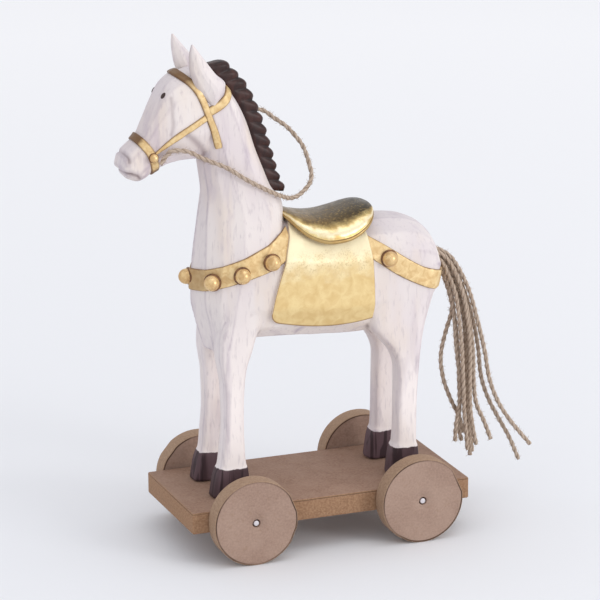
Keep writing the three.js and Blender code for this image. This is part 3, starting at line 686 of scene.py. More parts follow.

# Ears, long leaves laid along the head, with painted shade in a strip down the front of each
ear = {"easing": 6, "sides": 14, "shaded": (0, 1, 13), "shade": 0.5, "shape": [0.16, 0.3, 0.1, 0.2, 0.2, 0.3]}
earStations = [
    (57.2, 212.8, 54.6, 213.6, 9, 12.6), (60.4, 216.6, 50.6, 219.8, 7.5, 15.2),
    (63.8, 221, 49.4, 225, 7.5, 16.4), (67.2, 227.4, 54.6, 230.6, 8, 16.4),
    (69.6, 235.4, 59.6, 237, 9.8, 16.2), (70, 242.4, 64.4, 243.2, 12.4, 16.6),
    (69.2, 247.8, 68.2, 248, 15.2, 16.4),
]


def carveEars():
    lofts = []
    for side in (1, -1):
        stations = [[*ends, *sorted((side * yIn, side * yOut)), *ear["shape"]]
                    for *ends, yIn, yOut in earStations]
        lofts.append(loft(bodyRings(stations, ear["easing"])))
    ears = mergedMesh("ears", lofts, [whitewash])
    ears.data.shade_flat()
    addAttribute(ears, "hollow", [ear["shade"] if k % ear["sides"] in ear["shaded"] else 0
                                  for k in range(len(ears.data.vertices))])
    finishPiece(ears)


carveEars()


# Painted metal leaf: straps, saddle and studs
def goldSurface(name, light, deep, metallic, roughness, mottle):
    look = Surface(name)
    cloud, grit = look.grain(mottle, 4.0, distortion=0.6), look.grain(mottle * 7)
    look.ground(cloud, light, deep, 0.35, 0.65)
    look.coat(deep, grit, 0.56, 0.75, 0, 0.5)
    bump = look.reckon("ADD", cloud, look.times(grit, 0.5))
    worn = look.band(cloud, 0.3, 0.7, roughness - 0.06, roughness + 0.1)
    look.finish(worn, (bump, 0.35, 0.25 * mm), metallic=metallic)
    return look


def strapMaterial(name, shaded, rimStart):  # shaded: how far from the middle line it stays dark
    look = goldSurface(name, (240, 212, 158), (214, 178, 122), 0.2, 0.42, 300.0)
    # Darker towards both edges: a painted outline, which on the bridle straps, with a lower rimStart, spreads
    # inwards as painted shade on their rounded ridges
    wobble = look.band(look.grain(400.0), 0.3, 0.7, -0.04, 0.04)
    fromMiddle = look.reckon("ADD", look.away(look.axis(look.uv, "Y"), 0.5), wobble)
    look.coat((132, 96, 62), fromMiddle, rimStart, 0.46, 0, 0.9)
    # Painted shade on the faces that point forwards
    look.coat((150, 116, 76), look.facing("X"), 0.5, 0.9, 0, 0.6)
    # Painted shade over the middle of the browband and noseband, where they cross the front of the head
    if shaded:
        side = look.away(look.axis(look.spot, "Y"))
        look.coat((104, 70, 38), side, shaded * 0.88, shaded * 1.12, 0.92, 0)
    return look.done()


strapGold = strapMaterial("strapGold", 0, 0.37)
bridleGold = strapMaterial("bridleGold", 0, 0.2)
browGold = strapMaterial("browGold", 12 * mm, 0.2)
noseGold = strapMaterial("noseGold", 8 * mm, 0.2)


# Saddle cloth. Its painted highlight lies so many mm below the top, and darker specks break up the
# highlight's lower edge
cloth = {
    "rise": 2.4 * mm, "upSamples": 200, "lowSamples": 400, "columns": 50, "top": 137, "drift": 5,
    "highlightBand": (-20, -6), "highlightBreakIn": (-19, -13), "highlightBreakOut": (-10, -3),
}


def clothMaterial():
    look = goldSurface("clothGold", (236, 210, 152), (222, 190, 130), 0.22, 0.46, 190.0)
    drift = look.band(look.grain(120.0, 6.0), 0.3, 0.7, -cloth["drift"] * mm, cloth["drift"] * mm)
    level = look.reckon("ADD", look.axis(look.spot, "Z"), drift)
    highlightBand, highlightBreakIn, highlightBreakOut = ([levelOf(cloth["top"]) + below * mm for below in cloth[key]]
                              for key in ("highlightBand", "highlightBreakIn", "highlightBreakOut"))
    # Painted highlight: a pale band below the top, its lower edge broken up by darker specks
    look.coat((255, 246, 212), level, *highlightBand, 0, 0.7)
    highlightEdge = look.times(look.band(level, *highlightBreakIn), look.band(level, *highlightBreakOut, 1, 0))
    grit = look.band(look.grain(1200.0, 4.0), 0.5, 0.66, 0, 0.45)
    look.coat((184, 152, 94), look.times(highlightEdge, grit))
    sides = look.band(look.away(look.axis(look.uv, "Y"), 0.5), 0.478, 0.49)
    outline = look.reckon("MAXIMUM", sides, look.band(look.axis(look.uv, "X"), 1.2 * mm, 0.5 * mm))
    look.coat((150, 106, 66), look.times(outline, 0.8))
    return look.done()


def bareWoodMaterial():
    look = Surface("bareEdge")
    look.ground(look.grain(420.0, 3.0, (0.3, 1, 1)), (238, 228, 216), (212, 196, 182), 0.3, 0.7)
    return look.finish(0.7)


# Straps. An edge is rounded over: mm from the edge, share of the rise
strapMaking = {
    "step": 0.9 * mm, "sink": 0.5 * mm, "smoothing": 4, "samples": 240, "castFrom": 60,
    "fineness": 12, "rows": 9,
}
strapEdge = [(0, 0.5), (0.2, 0.78), (0.5, 0.92), (0.9, 0.98), (1.6, 1.0)]
clothEdge = [(0, 0.74), (0.2, 0.88), (0.5, 0.96), (0.9, 1.0), (1.6, 1.0)]


def leftSkin(sideLine):  # where a line of the side view lies on the figure's left
    starts = [Vector(fromDrawing([x, strapMaking["castFrom"], z])) for x, z in sideLine]
    hits = [figureTree.ray_cast(start, Vector((0, -1, 0)))[0] for start in starts]
    return np.array([hit for hit in hits if hit is not None and hit.y > 0])


def wrapLine(sideLine, kind):
    left = leftSkin(sideLine)
    right = left[::-1] * np.array([1, -1, 1])
    if kind == "over":  # from the left side over the top or the front to the right side
        return np.vstack([left, right])
    if kind == "round":  # all the way round
        return np.vstack([left, right, left[:1]])
    return left


def endDistances(length, step, edge, kind):
    if kind == "round":
        return np.linspace(0, length, round(length / step), endpoint=False)
    inner = np.linspace(edge[-1], length - edge[-1], max(3, round(length / step)))
    return np.concatenate([edge[:-1], inner, length - np.array(edge[:-1])[::-1]])


def lifted(lines, rises):  # a strap's outer and inner skin, along the figure's own
    found = [[figureTree.find_nearest(Vector(point)) for point in line] for line in lines]
    points, normals = (np.array([[spot[k] for spot in row] for row in found]) for k in (0, 1))
    for _ in range(strapMaking["smoothing"]):
        total = normals.copy()
        total[1:] += normals[:-1]
        total[:-1] += normals[1:]
        total[:, 1:] += normals[:, :-1]
        total[:, :-1] += normals[:, 1:]
        normals = total / np.linalg.norm(total, axis=2)[..., None]
    return points + normals * rises[..., None], points - normals * strapMaking["sink"]


def wrapStrap(name, sideLines, kind, rise, material, profile=strapEdge, edgeMaterial=None):
    edge = [d * mm for d, _ in profile]
    lines = [wrapLine(sideLine, kind) for sideLine in sideLines]
    lengths = [lineLength(line) for line in lines]
    shortest = min(lengths)
    shares = endDistances(shortest, strapMaking["step"], edge, kind) / shortest
    grid = np.array([atDistances(line, shares * length) for line, length in zip(lines, lengths)])
    width = np.linalg.norm(np.diff(grid, axis=0), axis=2)
    fromLow = np.concatenate([np.zeros((1, width.shape[1])), np.cumsum(width, axis=0)])
    fromEdge = np.minimum(fromLow, fromLow[-1] - fromLow)
    if kind != "round":
        along = shares * shortest
        fromEdge = np.minimum(fromEdge, np.minimum(along, shortest - along)[None])
    outer, inner = lifted(grid, rise * np.interp(fromEdge, edge, [share for _, share in profile]))
    vertices, faces = loft(np.concatenate([outer, inner[::-1]]).transpose(1, 0, 2), kind == "round")
    count, size = len(sideLines), 2 * len(sideLines)
    across = np.concatenate([np.linspace(0, 1, count), np.linspace(1, 0, count)])
    uv = [(share * shortest, v) for share in shares for v in across]
    uv += [(0, 0.5)] * (len(vertices) - len(uv))
    materials, slots = [material], None
    if edgeMaterial:  # the inner skin, the sides and the ends are of the second material
        materials.append(edgeMaterial)
        slots, total = [], len(shares) * size
        for face in faces:
            inside = any(i % size >= count for i in face if i < total)
            slots.append(int(inside or all(i < size or i >= total - size for i in face)))
    if kind == "sides":  # the same again on the right
        total = len(vertices)
        vertices = np.vstack([vertices, vertices * np.array([1, -1, 1])])
        faces = [*faces, *(tuple(i + total for i in reversed(face)) for face in faces)]
        uv = uv * 2
    finishPiece(asObject(name, vertices, faces, materials, uv, slots))


def ribbon(points, width, taper=None):  # side lines across a strap of even width
    samples = strapMaking["samples"]
    centre = evenly(catmull(points, strapMaking["fineness"]), samples)
    normal = tangents(centre)[:, ::-1] * np.array([-1, 1])
    halves = np.full(samples, width / 2)
    if taper:
        halves = halves * np.interp(np.linspace(0, lineLength(centre), samples), *taper)
    shares = [-1, -0.93, -0.8, -0.6, -0.3, 0, 0.3, 0.6, 0.8, 0.93, 1]
    return [centre + normal * (halves * share)[:, None] for share in shares]


def between(first, second):  # side lines from one edge to the other
    first, second = (evenly(catmull(line, strapMaking["fineness"]), strapMaking["samples"])
                     for line in (first, second))
    inner = np.linspace(0.15, 0.85, strapMaking["rows"])
    shares = np.concatenate([[0, 0.02, 0.05, 0.09], inner, [0.91, 0.95, 0.98, 1]])
    return [first * (1 - s) + second * s for s in shares]


# Bridle: the middle line, the width, the ends (mm along, share of the width), and how it lies
pointedEnd = ([0, 3, 9, 16, 100], [0.26, 0.42, 0.68, 0.9, 1])
roundEnd = ([0, 0.4, 1, 2, 100], [0.7, 0.86, 0.96, 1, 1])
strapRise = 1.1 * mm
bridle = {
    "bitStraps": ([[88.5, 189.5], [78, 197.6], [69.4, 202.8], [60.4, 207.8]],
                  3.8, pointedEnd, "sides", 0.95, bridleGold),
    "cheekStrap": ([[53.4, 190.9], [55.4, 198.6], [58.6, 208], [63.2, 219.5], [68.2, 226.6], [76, 232.5]],
                   3.8, roundEnd, "over", 1.15, browGold),
    "crownStrap": ([[58.6, 210.6], [51, 214.8], [45, 221.5], [40, 228]], 4.8, None, "over", 0.9, bridleGold),
    "noseband": ([[99.5, 201.6], [94.6, 196.6], [90, 190.4], [87.4, 183], [86.4, 177]],
                 4.6, None, "round", 1, noseGold),
}
harness = {  # lower edge, then upper edge
    "breastBand": ([[16, 131.5], [27, 124.6], [38.6, 120.6], [50, 117.4], [61.8, 113.2], [70, 112]],
                   [[16, 144.6], [27, 138.6], [38.6, 133.6], [50, 129], [61.8, 124.8], [70, 123.6]]),
    "breeching": ([[-24, 128.5], [-33.4, 121.8], [-45.2, 113.6], [-59.4, 106.2], [-69, 103.2], [-80, 102]],
                  [[-24, 139], [-35, 132.6], [-50.4, 122.6], [-60, 117], [-70, 113.9], [-80, 112.4]]),
}
for name, (points, width, ends, kind, rise, gold) in bridle.items():
    wrapStrap(name, ribbon(points, width, ends), kind, strapRise * rise, gold)
for name, edges in harness.items():
    wrapStrap(name, between(*edges), "over", strapRise, strapGold)
print("straps laid")


def clothLines():  # from the lower edge up over the back
    front = evenly(quadratic([28.6, 100.6], [26, 118], [12, 151]), cloth["upSamples"])
    rear = evenly(quadratic([-30, 92.4], [-30.6, 118], [-26.4, 152]), cloth["upSamples"])
    low = evenly(np.vstack([quadratic([28.6, 100.6], [28.4, 95.6], [23, 94.6]),
                            quadratic([23, 94.6], [-6, 87.4], [-30, 92.4])]), cloth["lowSamples"])
    inner = np.linspace(0.035, 0.965, cloth["columns"])
    shares = np.concatenate([[0, 0.004, 0.01, 0.02], inner, [0.98, 0.99, 0.996, 1]])
    height = np.linspace(0, 1, cloth["upSamples"])[:, None]
    lines = []
    for share in shares:
        base = low[round(share * (cloth["lowSamples"] - 1))] - (low[0] * (1 - share) + low[-1] * share)
        lines.append(front * (1 - share) + rear * share + (1 - height) * base)
    return lines


wrapStrap("saddleCloth", clothLines(), "over", cloth["rise"], clothMaterial(), clothEdge, bareWoodMaterial())
print("cloth laid")

# Saddle, a low half-moon over the cloth: x, half-width, lower edge and top of each station
saddle = {
    "rim": 2.0, "rimShare": 0.4, "rimStep": 0.5, "squareness": 2.2, "samples": 22, "inner": 0.5, "easing": 8,
    "darkAt": -30, "lightAt": 14,
}
saddleStations = [
    [17, 4, 150, 152.4], [16.2, 9, 149, 152.6], [14, 14.6, 146.6, 152.2], [11, 19, 143.4, 151.4],
    [6, 22.8, 139.4, 149.8], [-2, 25, 136.2, 148.4], [-10, 25.3, 135.8, 148.4], [-18, 24.6, 137, 149.8],
    [-25.4, 22.6, 140.4, 151.4], [-30, 19.6, 143.6, 152], [-32.8, 15.6, 146.2, 151.8],
    [-34.6, 10.4, 148, 151.4], [-35.4, 4, 149.4, 151],
]


def saddleMaterial():
    look = goldSurface("saddleGold", (238, 212, 146), (206, 172, 106), 0.5, 0.3, 170.0)
    up, along = look.axis(look.uv, "Y"), look.axis(look.spot, "X")
    inward = look.reckon("ADD", up, look.band(look.grain(190.0, 4.0), 0.3, 0.7, -0.08, 0.08))
    fleck = look.grain(720.0, 4.0)
    # Painted reflection: the upper part of the saddle is dark, darkest towards the rear, with flecks and
    # lighter specks in it
    rearward = look.band(along, middleX + saddle["darkAt"] * mm, middleX + saddle["lightAt"] * mm, 1, 0)
    dark = look.blend(rearward, (138, 108, 54), (52, 42, 20))
    dark = look.blend(look.band(look.grain(110.0), 0.4, 0.64, 0, 0.5), dark, (74, 60, 30))
    dark = look.blend(look.band(fleck, 0.55, 0.66, 0, 0.6), dark, (44, 36, 20))
    dark = look.blend(look.band(fleck, 0.34, 0.44, 0.4, 0), dark, (190, 158, 92))
    look.coat(dark, inward, 0.38, 0.6)
    # Painted highlight: a pale band just above the rim
    bright = look.times(look.band(inward, 0.16, 0.26), look.band(inward, 0.3, 0.44, 1, 0))
    look.coat((255, 246, 214), look.times(bright, 0.7))
    look.coat((150, 114, 66), up, 0.1, 0.12, 0.6, 0)
    lines = look.reckon("MAXIMUM", look.band(look.away(up, 0.115), 0.006, 0.016, 1, 0),
                        look.band(up, 0.015, 0.035, 1, 0))
    look.coat((98, 66, 38), look.times(lines, 0.8))
    return look.done()


def buildSaddle():
    rings, uv = [], []
    step, power = saddle["rimStep"], 2 / saddle["squareness"]
    for x, flank, foot, top in catmull(saddleStations, saddle["easing"]):
        rim = min(saddle["rim"], (top - foot) * saddle["rimShare"])
        height = top - foot - rim
        side = [(flank * saddle["inner"], foot + 0.3), (flank - 0.5, foot), (flank, foot + 0.3),
                (flank + 0.05, foot + rim * 0.5), (flank, foot + rim - 0.25), (flank - step, foot + rim)]
        shares = [0, 0.02, 0.04, 0.07, 0.1, 0.12]
        for t in np.linspace(0.06, math.pi / 2 - 0.03, saddle["samples"]):
            side.append(((flank - step) * math.cos(t) ** power, foot + rim + height * math.sin(t) ** power))
            shares.append(0.12 + 0.88 * t / (math.pi / 2))
        rings.append(fromDrawing([(x, y, z) for y, z in side] + [(x, -y, z) for y, z in reversed(side)]))
        uv += [(x / 100, v) for v in shares + shares[::-1]]
    vertices, faces = loft(rings)
    uv += [(0, 0.2)] * (len(vertices) - len(uv))
    finishPiece(asObject("saddle", vertices, faces, [saddleMaterial()], uv))


buildSaddle()

# Geometry Nodes helpers: a tree with named inputs, and its result as a plain mesh
socketKinds = {float: "NodeSocketFloat", int: "NodeSocketInt", bpy.types.Material: "NodeSocketMaterial"}


def startTree(name, inputs):
    tree = bpy.data.node_groups.new(name, "GeometryNodeTree")
    tree.interface.new_socket("Geometry", in_out="INPUT", socket_type="NodeSocketGeometry")
    for label, value in inputs.items():
        kind = next(kind for sort, kind in socketKinds.items() if isinstance(value, sort))
        tree.interface.new_socket(label, in_out="INPUT", socket_type=kind).default_value = value
    tree.interface.new_socket("Geometry", in_out="OUTPUT", socket_type="NodeSocketGeometry")
    graph = Graph(tree)
    return graph, graph.node("NodeGroupInput").outputs, graph.node("NodeGroupOutput").inputs


def bakeTree(source, build, values, name):
    tree = build(values)
    modifier = source.modifiers.new(name, "NODES")
    modifier.node_group = tree
    for item in tree.interface.items_tree:
        if item.in_out == "INPUT" and item.name in values:
            modifier[item.identifier] = values[item.name]
    graph = bpy.context.evaluated_depsgraph_get()
    mesh = bpy.data.meshes.new_from_object(source.evaluated_get(graph))
    bpy.data.objects.remove(source)
    mesh.polygons.foreach_set("use_smooth", [True] * len(mesh.polygons))
    return linked(name, mesh)


# Loose fibres that stand out of the twine
fuzz = {
    "Density": 420000.0, "Length": 1.5 * mm, "Thickness": 0.06 * mm, "Lift": math.radians(62), "Seed": 7,
}
fuzzSizes = {"Seed": 3, "Least": 0.4, "Most": 1.3}


def fuzzTree(values):
    graph, given, result = startTree("fibresOnTwine", values)
    spread = graph.node("GeometryNodeDistributePointsOnFaces", {
        "Mesh": given["Geometry"], "Density": given["Density"], "Seed": given["Seed"]}).outputs
    arc = graph.shape("CurveQuadraticBezier", {
        "Resolution": 2, "Start": (0, 0, 0), "Middle": graph.vector(Z=graph.times(given["Length"], 0.6)),
        "End": graph.vector(X=graph.times(given["Length"], 0.4), Z=given["Length"])})
    outline = graph.shape("CurvePrimitiveCircle", {"Resolution": 3, "Radius": given["Thickness"]})
    hair = graph.shape("CurveToMesh", {"Curve": arc, "Profile Curve": outline, "Fill Caps": True})
    spin = graph.node("FunctionNodeRandomValue", {"Seed": given["Seed"], 3: 2 * math.pi}, data_type="FLOAT")
    turn = spread["Rotation"]
    for way in (graph.vector(Z=spin.outputs[1]), graph.vector(X=given["Lift"])):
        turn = graph.node("FunctionNodeRotateRotation", {"Rotation": turn, "Rotate By": way},
                          rotation_space="LOCAL").outputs[0]
    size = graph.node("FunctionNodeRandomValue", {
        "Seed": fuzzSizes["Seed"], 2: fuzzSizes["Least"], 3: fuzzSizes["Most"]}, data_type="FLOAT")
    placed = graph.shape("InstanceOnPoints", {
        "Points": spread["Points"], "Instance": hair, "Rotation": turn, "Scale": size.outputs[1]})
    real = graph.shape("RealizeInstances", {"Geometry": placed})
    graph.feed(result[0], graph.shape("SetMaterial", {"Geometry": real, "Material": given["Fibre"]}))
    return graph.tree


def fibreLook():
    look = Surface("looseFibre")
    look.ground(look.grain(500.0), (196, 174, 150), (150, 126, 106))
    return look.finish(0.9)


def looseFibres():
    skin = mergedMesh("twineSkin", twineSkins)
    skin.data.shade_flat()
    finishPiece(bakeTree(skin, fuzzTree, {**fuzz, "Fibre": fibreLook()}, "looseFibres"))


looseFibres()
print("fibres laid")

# Round studs on the harness: their sizes, and the way that each one faces
studSizes = {"Diameter": 8.4 * mm, "Collar": 9.8 * mm, "Collar Rise": 1.5 * mm}
studFacing = {
    "breast_stud_front": (1, 0, 0), "breast_stud_corner_left": (0.6, 0.8, 0),
    "breast_stud_corner_right": (0.12, -0.99, 0), "breast_stud_shoulder_left": (0, 1, 0),
    "breast_stud_shoulder_right": (0, -1, 0), "breast_stud_saddle_left": (0, 1, 0),
    "rump_stud_left": (0, 1, 0), "rump_stud_right": (0, -1, 0),
}
bitSizes = {"Diameter": 4.6 * mm, "Collar": 5.4 * mm, "Collar Rise": 0.8 * mm}
bitFacing = {"bit_stud_left": (0, 1, 0), "bit_stud_right": (0, -1, 0)}
studMake = {"segments": 40, "rings": 20, "collarRings": 12, "collarFlat": 0.34}
studPaint = {
    "Gold": goldSurface("studGold", (240, 208, 152), (204, 164, 110), 0.4, 0.3, 260.0).done(),
    "Shade": goldSurface("studShade", (136, 92, 54), (96, 62, 38), 0.1, 0.5, 300.0).done(),
}


def studTree(values):
    graph, given, result = startTree("studsOnStraps", values)
    facing = graph.node("GeometryNodeInputNamedAttribute", {"Name": "facing"}, data_type="FLOAT_VECTOR")
    turn = graph.node("FunctionNodeAlignRotationToVector", {"Vector": facing.outputs[0]}, axis="Z")
    dome, collar = (graph.shape("MeshUVSphere", {
        "Segments": studMake["segments"], "Rings": studMake[rings], "Radius": graph.times(given[width], 0.5)})
        for rings, width in (("rings", "Diameter"), ("collarRings", "Collar")))
    flat = graph.shape("Transform", {
        "Geometry": collar, "Scale": graph.vector(X=1.0, Y=1.0, Z=studMake["collarFlat"]),
        "Translation": graph.vector(Z=graph.times(given["Collar Rise"], -1.0))})
    joint = graph.node("GeometryNodeJoinGeometry")
    for part, label in ((flat, "Shade"), (dome, "Gold")):
        painted = graph.shape("SetMaterial", {"Geometry": part, "Material": given[label]})
        graph.feed(joint.inputs[0], painted)
    spread = graph.shape("InstanceOnPoints", {
        "Points": given["Geometry"], "Instance": joint.outputs[0], "Rotation": turn.outputs[0]})
    graph.feed(result[0], graph.shape("RealizeInstances", {"Geometry": spread}))
    return graph.tree


def setStuds(name, facing, sizes):
    middles = []
    for node, way in facing.items():
        way = np.array(way) / np.linalg.norm(way)
        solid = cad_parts[node]
        corners = np.array([solid.matrix_world @ v.co for v in solid.data.vertices])
        middles.append(corners[np.argmax(corners @ way)] - way * sizes["Diameter"] / 2)
    points = asObject(name, middles, [])
    layer = points.data.attributes.new("facing", "FLOAT_VECTOR", "POINT")
    layer.data.foreach_set("vector", np.array(list(facing.values()), np.float32).ravel())
    finishPiece(bakeTree(points, studTree, {**sizes, **studPaint}, name), list(facing))


setStuds("studs", studFacing, studSizes)
setStuds("bitBeads", bitFacing, bitSizes)
print("studs set")

# Mane: a plaited crest of slanting lobes, down the back of the neck
mane = {
    "lobes": 12, "perLobe": 9, "halfWidth": 4.7, "inner": -4.0, "groove": 4.9, "crest": 6.7, "slant": 3.0,
    "widestAt": 0.62, "fallTo": 0.76, "dip": 0.2, "samples": 400,
}
maneLine = [[53.6, 233.6], [46, 226.6], [38.6, 217.4], [32, 203], [27, 187], [22.6, 171], [19.2, 162.6]]


def maneMaterial():
    look = Surface("maneBrown")
    stroke = look.grain(330.0, 4.0, (1, 1, 0.4))
    look.ground(stroke, (42, 22, 20), (66, 37, 32), 0.35, 0.65)
    look.coat((104, 66, 58), look.grain(120.0), 0.6, 0.8, 0, 0.3)
    # Painted shade in the grooves between the lobes, on the outer part of the crest
    groove = look.times(look.band(look.axis(look.uv, "X"), 0.05, 0.55, 1, 0),
                        look.band(look.axis(look.uv, "Y"), 0.45, 0.7))
    look.coat((30, 16, 17), look.times(groove, 0.85))
    return look.finish(0.42, (stroke, 0.4, 0.3 * mm), specular=0.32)


def lobeSwell(phase):  # up to the widest place and down again, over one lobe
    if phase < mane["widestAt"]:
        return math.sin(math.pi * phase / mane["widestAt"] / 2)
    return math.cos(math.pi * (phase - mane["widestAt"]) / mane["fallTo"])


def carveMane():
    line = evenly(catmull(maneLine, 20), mane["samples"])
    ways = tangents(line)
    rings, uv = [], []
    last = mane["lobes"] * mane["perLobe"]
    for i in range(last + 1):
        k = round(i / last * (mane["samples"] - 1))
        point, way = line[k], ways[k]
        out = np.array([way[1], -way[0]])
        swell = lobeSwell(i % mane["perLobe"] / mane["perLobe"])
        reach = mane["groove"] + (mane["crest"] - mane["groove"]) * swell
        inner = point + out * mane["inner"] - way * mane["slant"]
        outer = point + out * reach + way * mane["slant"]
        dip = mane["dip"] * (1 - swell)
        side = [(0, 1), (0.3, 1), (0.6, 0.99 - dip), (0.8, 0.93 - dip), (0.92, 0.78 - dip), (0.98, 0.5),
                (1, 0.2)]
        ring = []
        for u, v in side:
            x, z = inner + (outer - inner) * u
            ring.append((x, v * mane["halfWidth"], z))
        uv += [(swell, u) for u, v in side + side[::-1]]
        rings.append(fromDrawing(ring + [(x, -y, z) for x, y, z in reversed(ring)]))
    vertices, faces = loft(rings)
    uv += [(1, 1)] * (len(vertices) - len(uv))
    finishPiece(asObject("mane", vertices, faces, [maneMaterial()], uv))


carveMane()

# Eyes, in millimetres and degrees
eye = {"place": [82.3, 220.6], "wide": 3.7, "high": 2.6, "rise": 0.7, "lean": -38, "sunk": 0.8, "rings": 8,
       "sides": 28}


def eyeMaterial():
    look = Surface("eyeBrown")
    mottle = look.grain(300.0, 4.0)
    look.ground(mottle, (62, 38, 34), (38, 22, 22), 0.35, 0.65)
    return look.finish(0.3, (mottle, 0.2, 0.2 * mm))


def setEyes():
    lofts = []
    x, z = eye["place"]
    lean = math.radians(eye["lean"])
    for side in (1, -1):
        start = Vector(fromDrawing([x, side * strapMaking["castFrom"], z]))
        hit, normal, _, _ = figureTree.ray_cast(start, Vector((0, -side, 0)))
        along = Vector((math.cos(lean), 0, math.sin(lean)))
        along = (along - normal * along.dot(normal)).normalized()
        across = normal.cross(along)
        rings = []
        for t in np.linspace(0.02, 0.5 * math.pi, eye["rings"]):
            rise = normal * (math.cos(t) * eye["rise"] - 0.1)
            flats = [along * math.cos(a) * eye["wide"] / 2 + across * math.sin(a) * eye["high"] / 2
                     for a in circle(eye["sides"])]
            rings.append([np.array(hit + (flat * math.sin(t) + rise) * mm) for flat in flats])
        rings.append([p - np.array(normal) * eye["sunk"] * mm for p in rings[-1]])
        lofts.append(loft(rings))
    finishPiece(mergedMesh("eyes", lofts, [eyeMaterial()]))


setEyes()


# Fibreboard, of the board and the wheels: face and edge are their colours, and the functions
# say where the edge is and where it is burnt
def fibreMaterial(name, face, edge, edgeShare, burntShare):
    look = Surface(name)
    fibre = look.grain(900.0, 5.0)
    look.ground(fibre, *face[:2], 0.3, 0.7)
    look.coat(face[2], look.grain(70.0), 0.4, 0.7, 0, 0.4)
    look.coat(look.blend(look.band(fibre, 0.3, 0.7), *edge), edgeShare(look))
    look.coat(edge[1], look.grain(420.0, 2.0), 0.62, 0.72, 0, 0.35)
    broken = look.band(look.grain(36.0, 2.0), 0.36, 0.54, 0.35, 1.0)
    look.coat((80, 60, 48), look.times(burntShare(look), broken))
    return look.finish(0.75, (fibre, 0.3, 0.2 * mm), specular=0.25)


board = {"ease": 0.9 * mm, "easeSteps": 4}


def sidesOfBoard(look):
    return look.band(look.reckon("ABSOLUTE", look.facing("Z", "True Normal")), 0.5, 0.9, 1, 0)


def burntArris(look):  # the line that the saw darkened under the board's top edge
    line = look.away(look.axis(look.spot, "Z"), boardHigh.z - board["ease"])
    return look.times(look.band(line, 0.1 * mm, 0.35 * mm, 0.7, 0), sidesOfBoard(look))


def layBoard():
    ends = zip(boardLow, boardHigh)
    corners = np.array(np.meshgrid(*ends, indexing="ij")).reshape(3, -1).T
    faces = [(0, 1, 3, 2), (4, 6, 7, 5), (0, 4, 5, 1), (2, 3, 7, 6), (0, 2, 6, 4), (1, 5, 7, 3)]
    fibre = fibreMaterial("boardFibre", ((160, 130, 112), (138, 108, 90), (168, 140, 122)),
                          ((170, 134, 104), (140, 106, 80)), sidesOfBoard, burntArris)
    piece = asObject("board", *outward(corners, faces), [fibre])
    bevel = piece.modifiers.new("eased", "BEVEL")
    bevel.width, bevel.segments = board["ease"], board["easeSteps"]
    finishPiece(piece, ["platform"])


layBoard()

# Wheels, round but for the flats that hand cutting left: the way each faces in degrees, its depth
wheel = {
    "diameter": 47, "thickness": 10.5, "bore": 4.6, "boreEase": 0.15, "ease": 0.45, "easeSteps": 5,
    "sides": 168, "fromMiddle": 48, "faceRings": (8, 16, 22), "edgeRing": 0.4, "flatsFrom": 12,
    "flatReach": 60, "edgeAt": (22.7, 23.2), "burnAt": 22.8, "burn": (0.2, 0.5),
}
wheelFlats = {
    "front_left": [[158, 0.5], [203, 0.35]], "front_right": [[40, 0.4]],
    "rear_left": [[156, 1.1], [300, 0.3]], "rear_right": [[120, 0.5]],
}


def rimOfWheel(look):
    return look.band(look.length(look.uv), *(r * mm for r in wheel["edgeAt"]))


def burntRim(look):
    line = look.away(look.length(look.uv), wheel["burnAt"] * mm)
    return look.band(line, *(gap * mm for gap in wheel["burn"]), 1, 0)


wheelFibre = fibreMaterial("wheelFibre", ((170, 142, 126), (148, 122, 108), (182, 156, 140)),
                           ((172, 144, 120), (148, 120, 98)), rimOfWheel, burntRim)


def cutWheel(corner, flats):
    low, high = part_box("wheel_" + corner)
    radius, half, ease, bore = wheel["diameter"] / 2, wheel["thickness"] / 2, wheel["ease"], wheel["bore"] / 2
    fromMiddle = wheel["fromMiddle"] * mm * (1 if corner.startswith("front") else -1)
    centre = np.array([middleX + fromMiddle, (low.y + high.y) / 2, radius * mm])
    profile = [(bore, -half + wheel["boreEase"]), (bore + wheel["boreEase"], -half)]
    profile += [(r, -half) for r in wheel["faceRings"]]
    profile += [(radius - ease + ease * math.cos(t), -half + ease + ease * math.sin(t))
                for t in np.linspace(-math.pi / 2, 0, wheel["easeSteps"])]
    profile += [(radius, -half * wheel["edgeRing"])]
    profile += [(r, -y) for r, y in reversed(profile)]
    rings, uv = [], []
    for angle in circle(wheel["sides"]):
        reach = radius
        for faces, depth in flats:
            turn = math.cos(angle - math.radians(faces))
            if turn > math.cos(math.radians(wheel["flatReach"])):
                reach = min(reach, (radius - depth) / turn)
        ring = []
        for r, y in profile:
            r = r * (reach / radius if r > wheel["flatsFrom"] else 1)
            ring.append(centre + np.array([r * math.cos(angle), y, r * math.sin(angle)]) * mm)
            uv.append((r / reach * radius * math.cos(angle) * mm, r / reach * radius * math.sin(angle) * mm))
        rings.append(ring)
    piece = asObject("wheel" + corner.title().replace("_", ""), *loft(rings, True), [wheelFibre], uv)
    finishPiece(piece, ["wheel_" + corner], "wheel_" + corner)


for corner, flats in wheelFlats.items():
    cutWheel(corner, flats)

# Steel pins that the wheels turn on
pin = {"diameter": 3, "ease": 0.3, "sides": 32, "dome": 0.12}


def steelMaterial():
    look = Surface("pinSteel")
    scratch = look.grain(1500.0)
    look.ground(scratch, (232, 228, 230), (206, 200, 204))
    return look.finish(look.band(scratch, 0.3, 0.7, 0.42, 0.56), metallic=0.6)


pinSteel = steelMaterial()


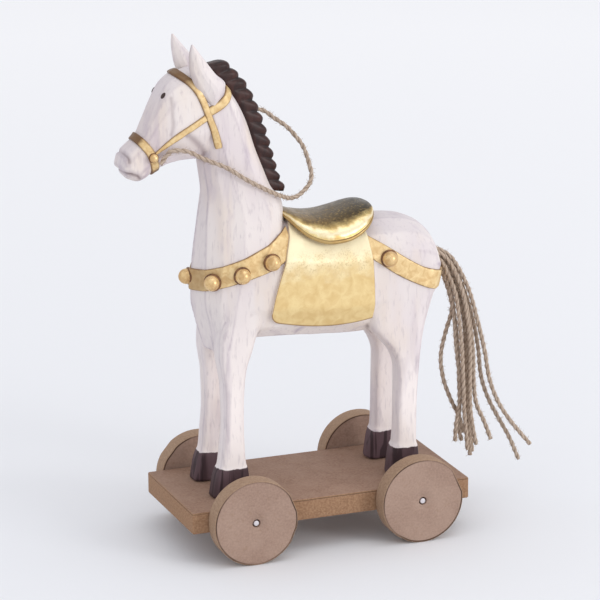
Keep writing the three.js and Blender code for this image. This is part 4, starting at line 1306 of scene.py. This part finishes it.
def drivePin(corner):
    low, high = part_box("axle_pin_" + corner)
    side = 1 if high.y > 0 else -1
    x, z = (low.x + high.x) / 2, (low.z + high.z) / 2
    tip, root = (high.y, low.y) if side > 0 else (low.y, high.y)
    radius, dome = pin["diameter"] / 2, pin["dome"]
    profile = [(0.02, 0), (radius * 0.5, -0.03), (radius - pin["ease"], -dome * 0.5), (radius - 0.1, -dome),
               (radius, -0.6), (radius, -abs(tip - root) / mm)]
    rings = [[(x + r * mm * math.cos(a), tip + side * drop * mm, z + r * mm * math.sin(a))
              for a in circle(pin["sides"])] for r, drop in profile]
    piece = asObject("pin" + corner.title().replace("_", ""), *loft(rings), [pinSteel])
    finishPiece(piece, ["axle_pin_" + corner])


for corner in wheelFlats:
    drivePin(corner)
print("wheels and pins in place")

# Floor and studio light
studio = {
    "floor": 9, "sky": 0.94, "skyColour": (245, 246, 250),
    "lamps": {
        "overhead": {"place": (-0.3, 0.4, 1.9), "aim": (0, 0, 0.1), "size": 1.3, "power": 4},
        "key": {"place": (-1.5, 2.0, 0.8), "aim": (0, 0, 0.13), "size": 0.9, "power": 16},
    },
}


def layFloor():
    look = Surface("floorWhite")
    # Painted shade and light: the floor is greyer near the middle and whiter further off
    look.ground(look.length(look.spot), (234, 235, 238), (252, 252, 253), 0.1, 1.4)
    corners = [(x * studio["floor"], y * studio["floor"], 0) for x, y in ((-1, -1), (1, -1), (1, 1), (-1, 1))]
    asObject("floor", corners, [(0, 1, 2, 3)], [look.finish(0.9)])


def lightStudio():
    world = bpy.data.worlds.new("studio")
    world.use_nodes = True
    sky = world.node_tree.nodes["Background"].inputs
    sky["Color"].default_value, sky["Strength"].default_value = paint(*studio["skyColour"]), studio["sky"]
    bpy.context.scene.world = world
    for name, lamp in studio["lamps"].items():
        light = bpy.data.lights.new(name, "AREA")
        light.shape, light.size, light.energy = "DISK", lamp["size"], lamp["power"]
        made = linked(name, light)
        made.location = lamp["place"]
        aim = Vector(lamp["aim"]) - Vector(lamp["place"])
        made.rotation_euler = aim.to_track_quat("-Z", "Y").to_euler()


layFloor()
lightStudio()
bpy.context.scene.view_settings.view_transform = "Standard"
print("studio lit")
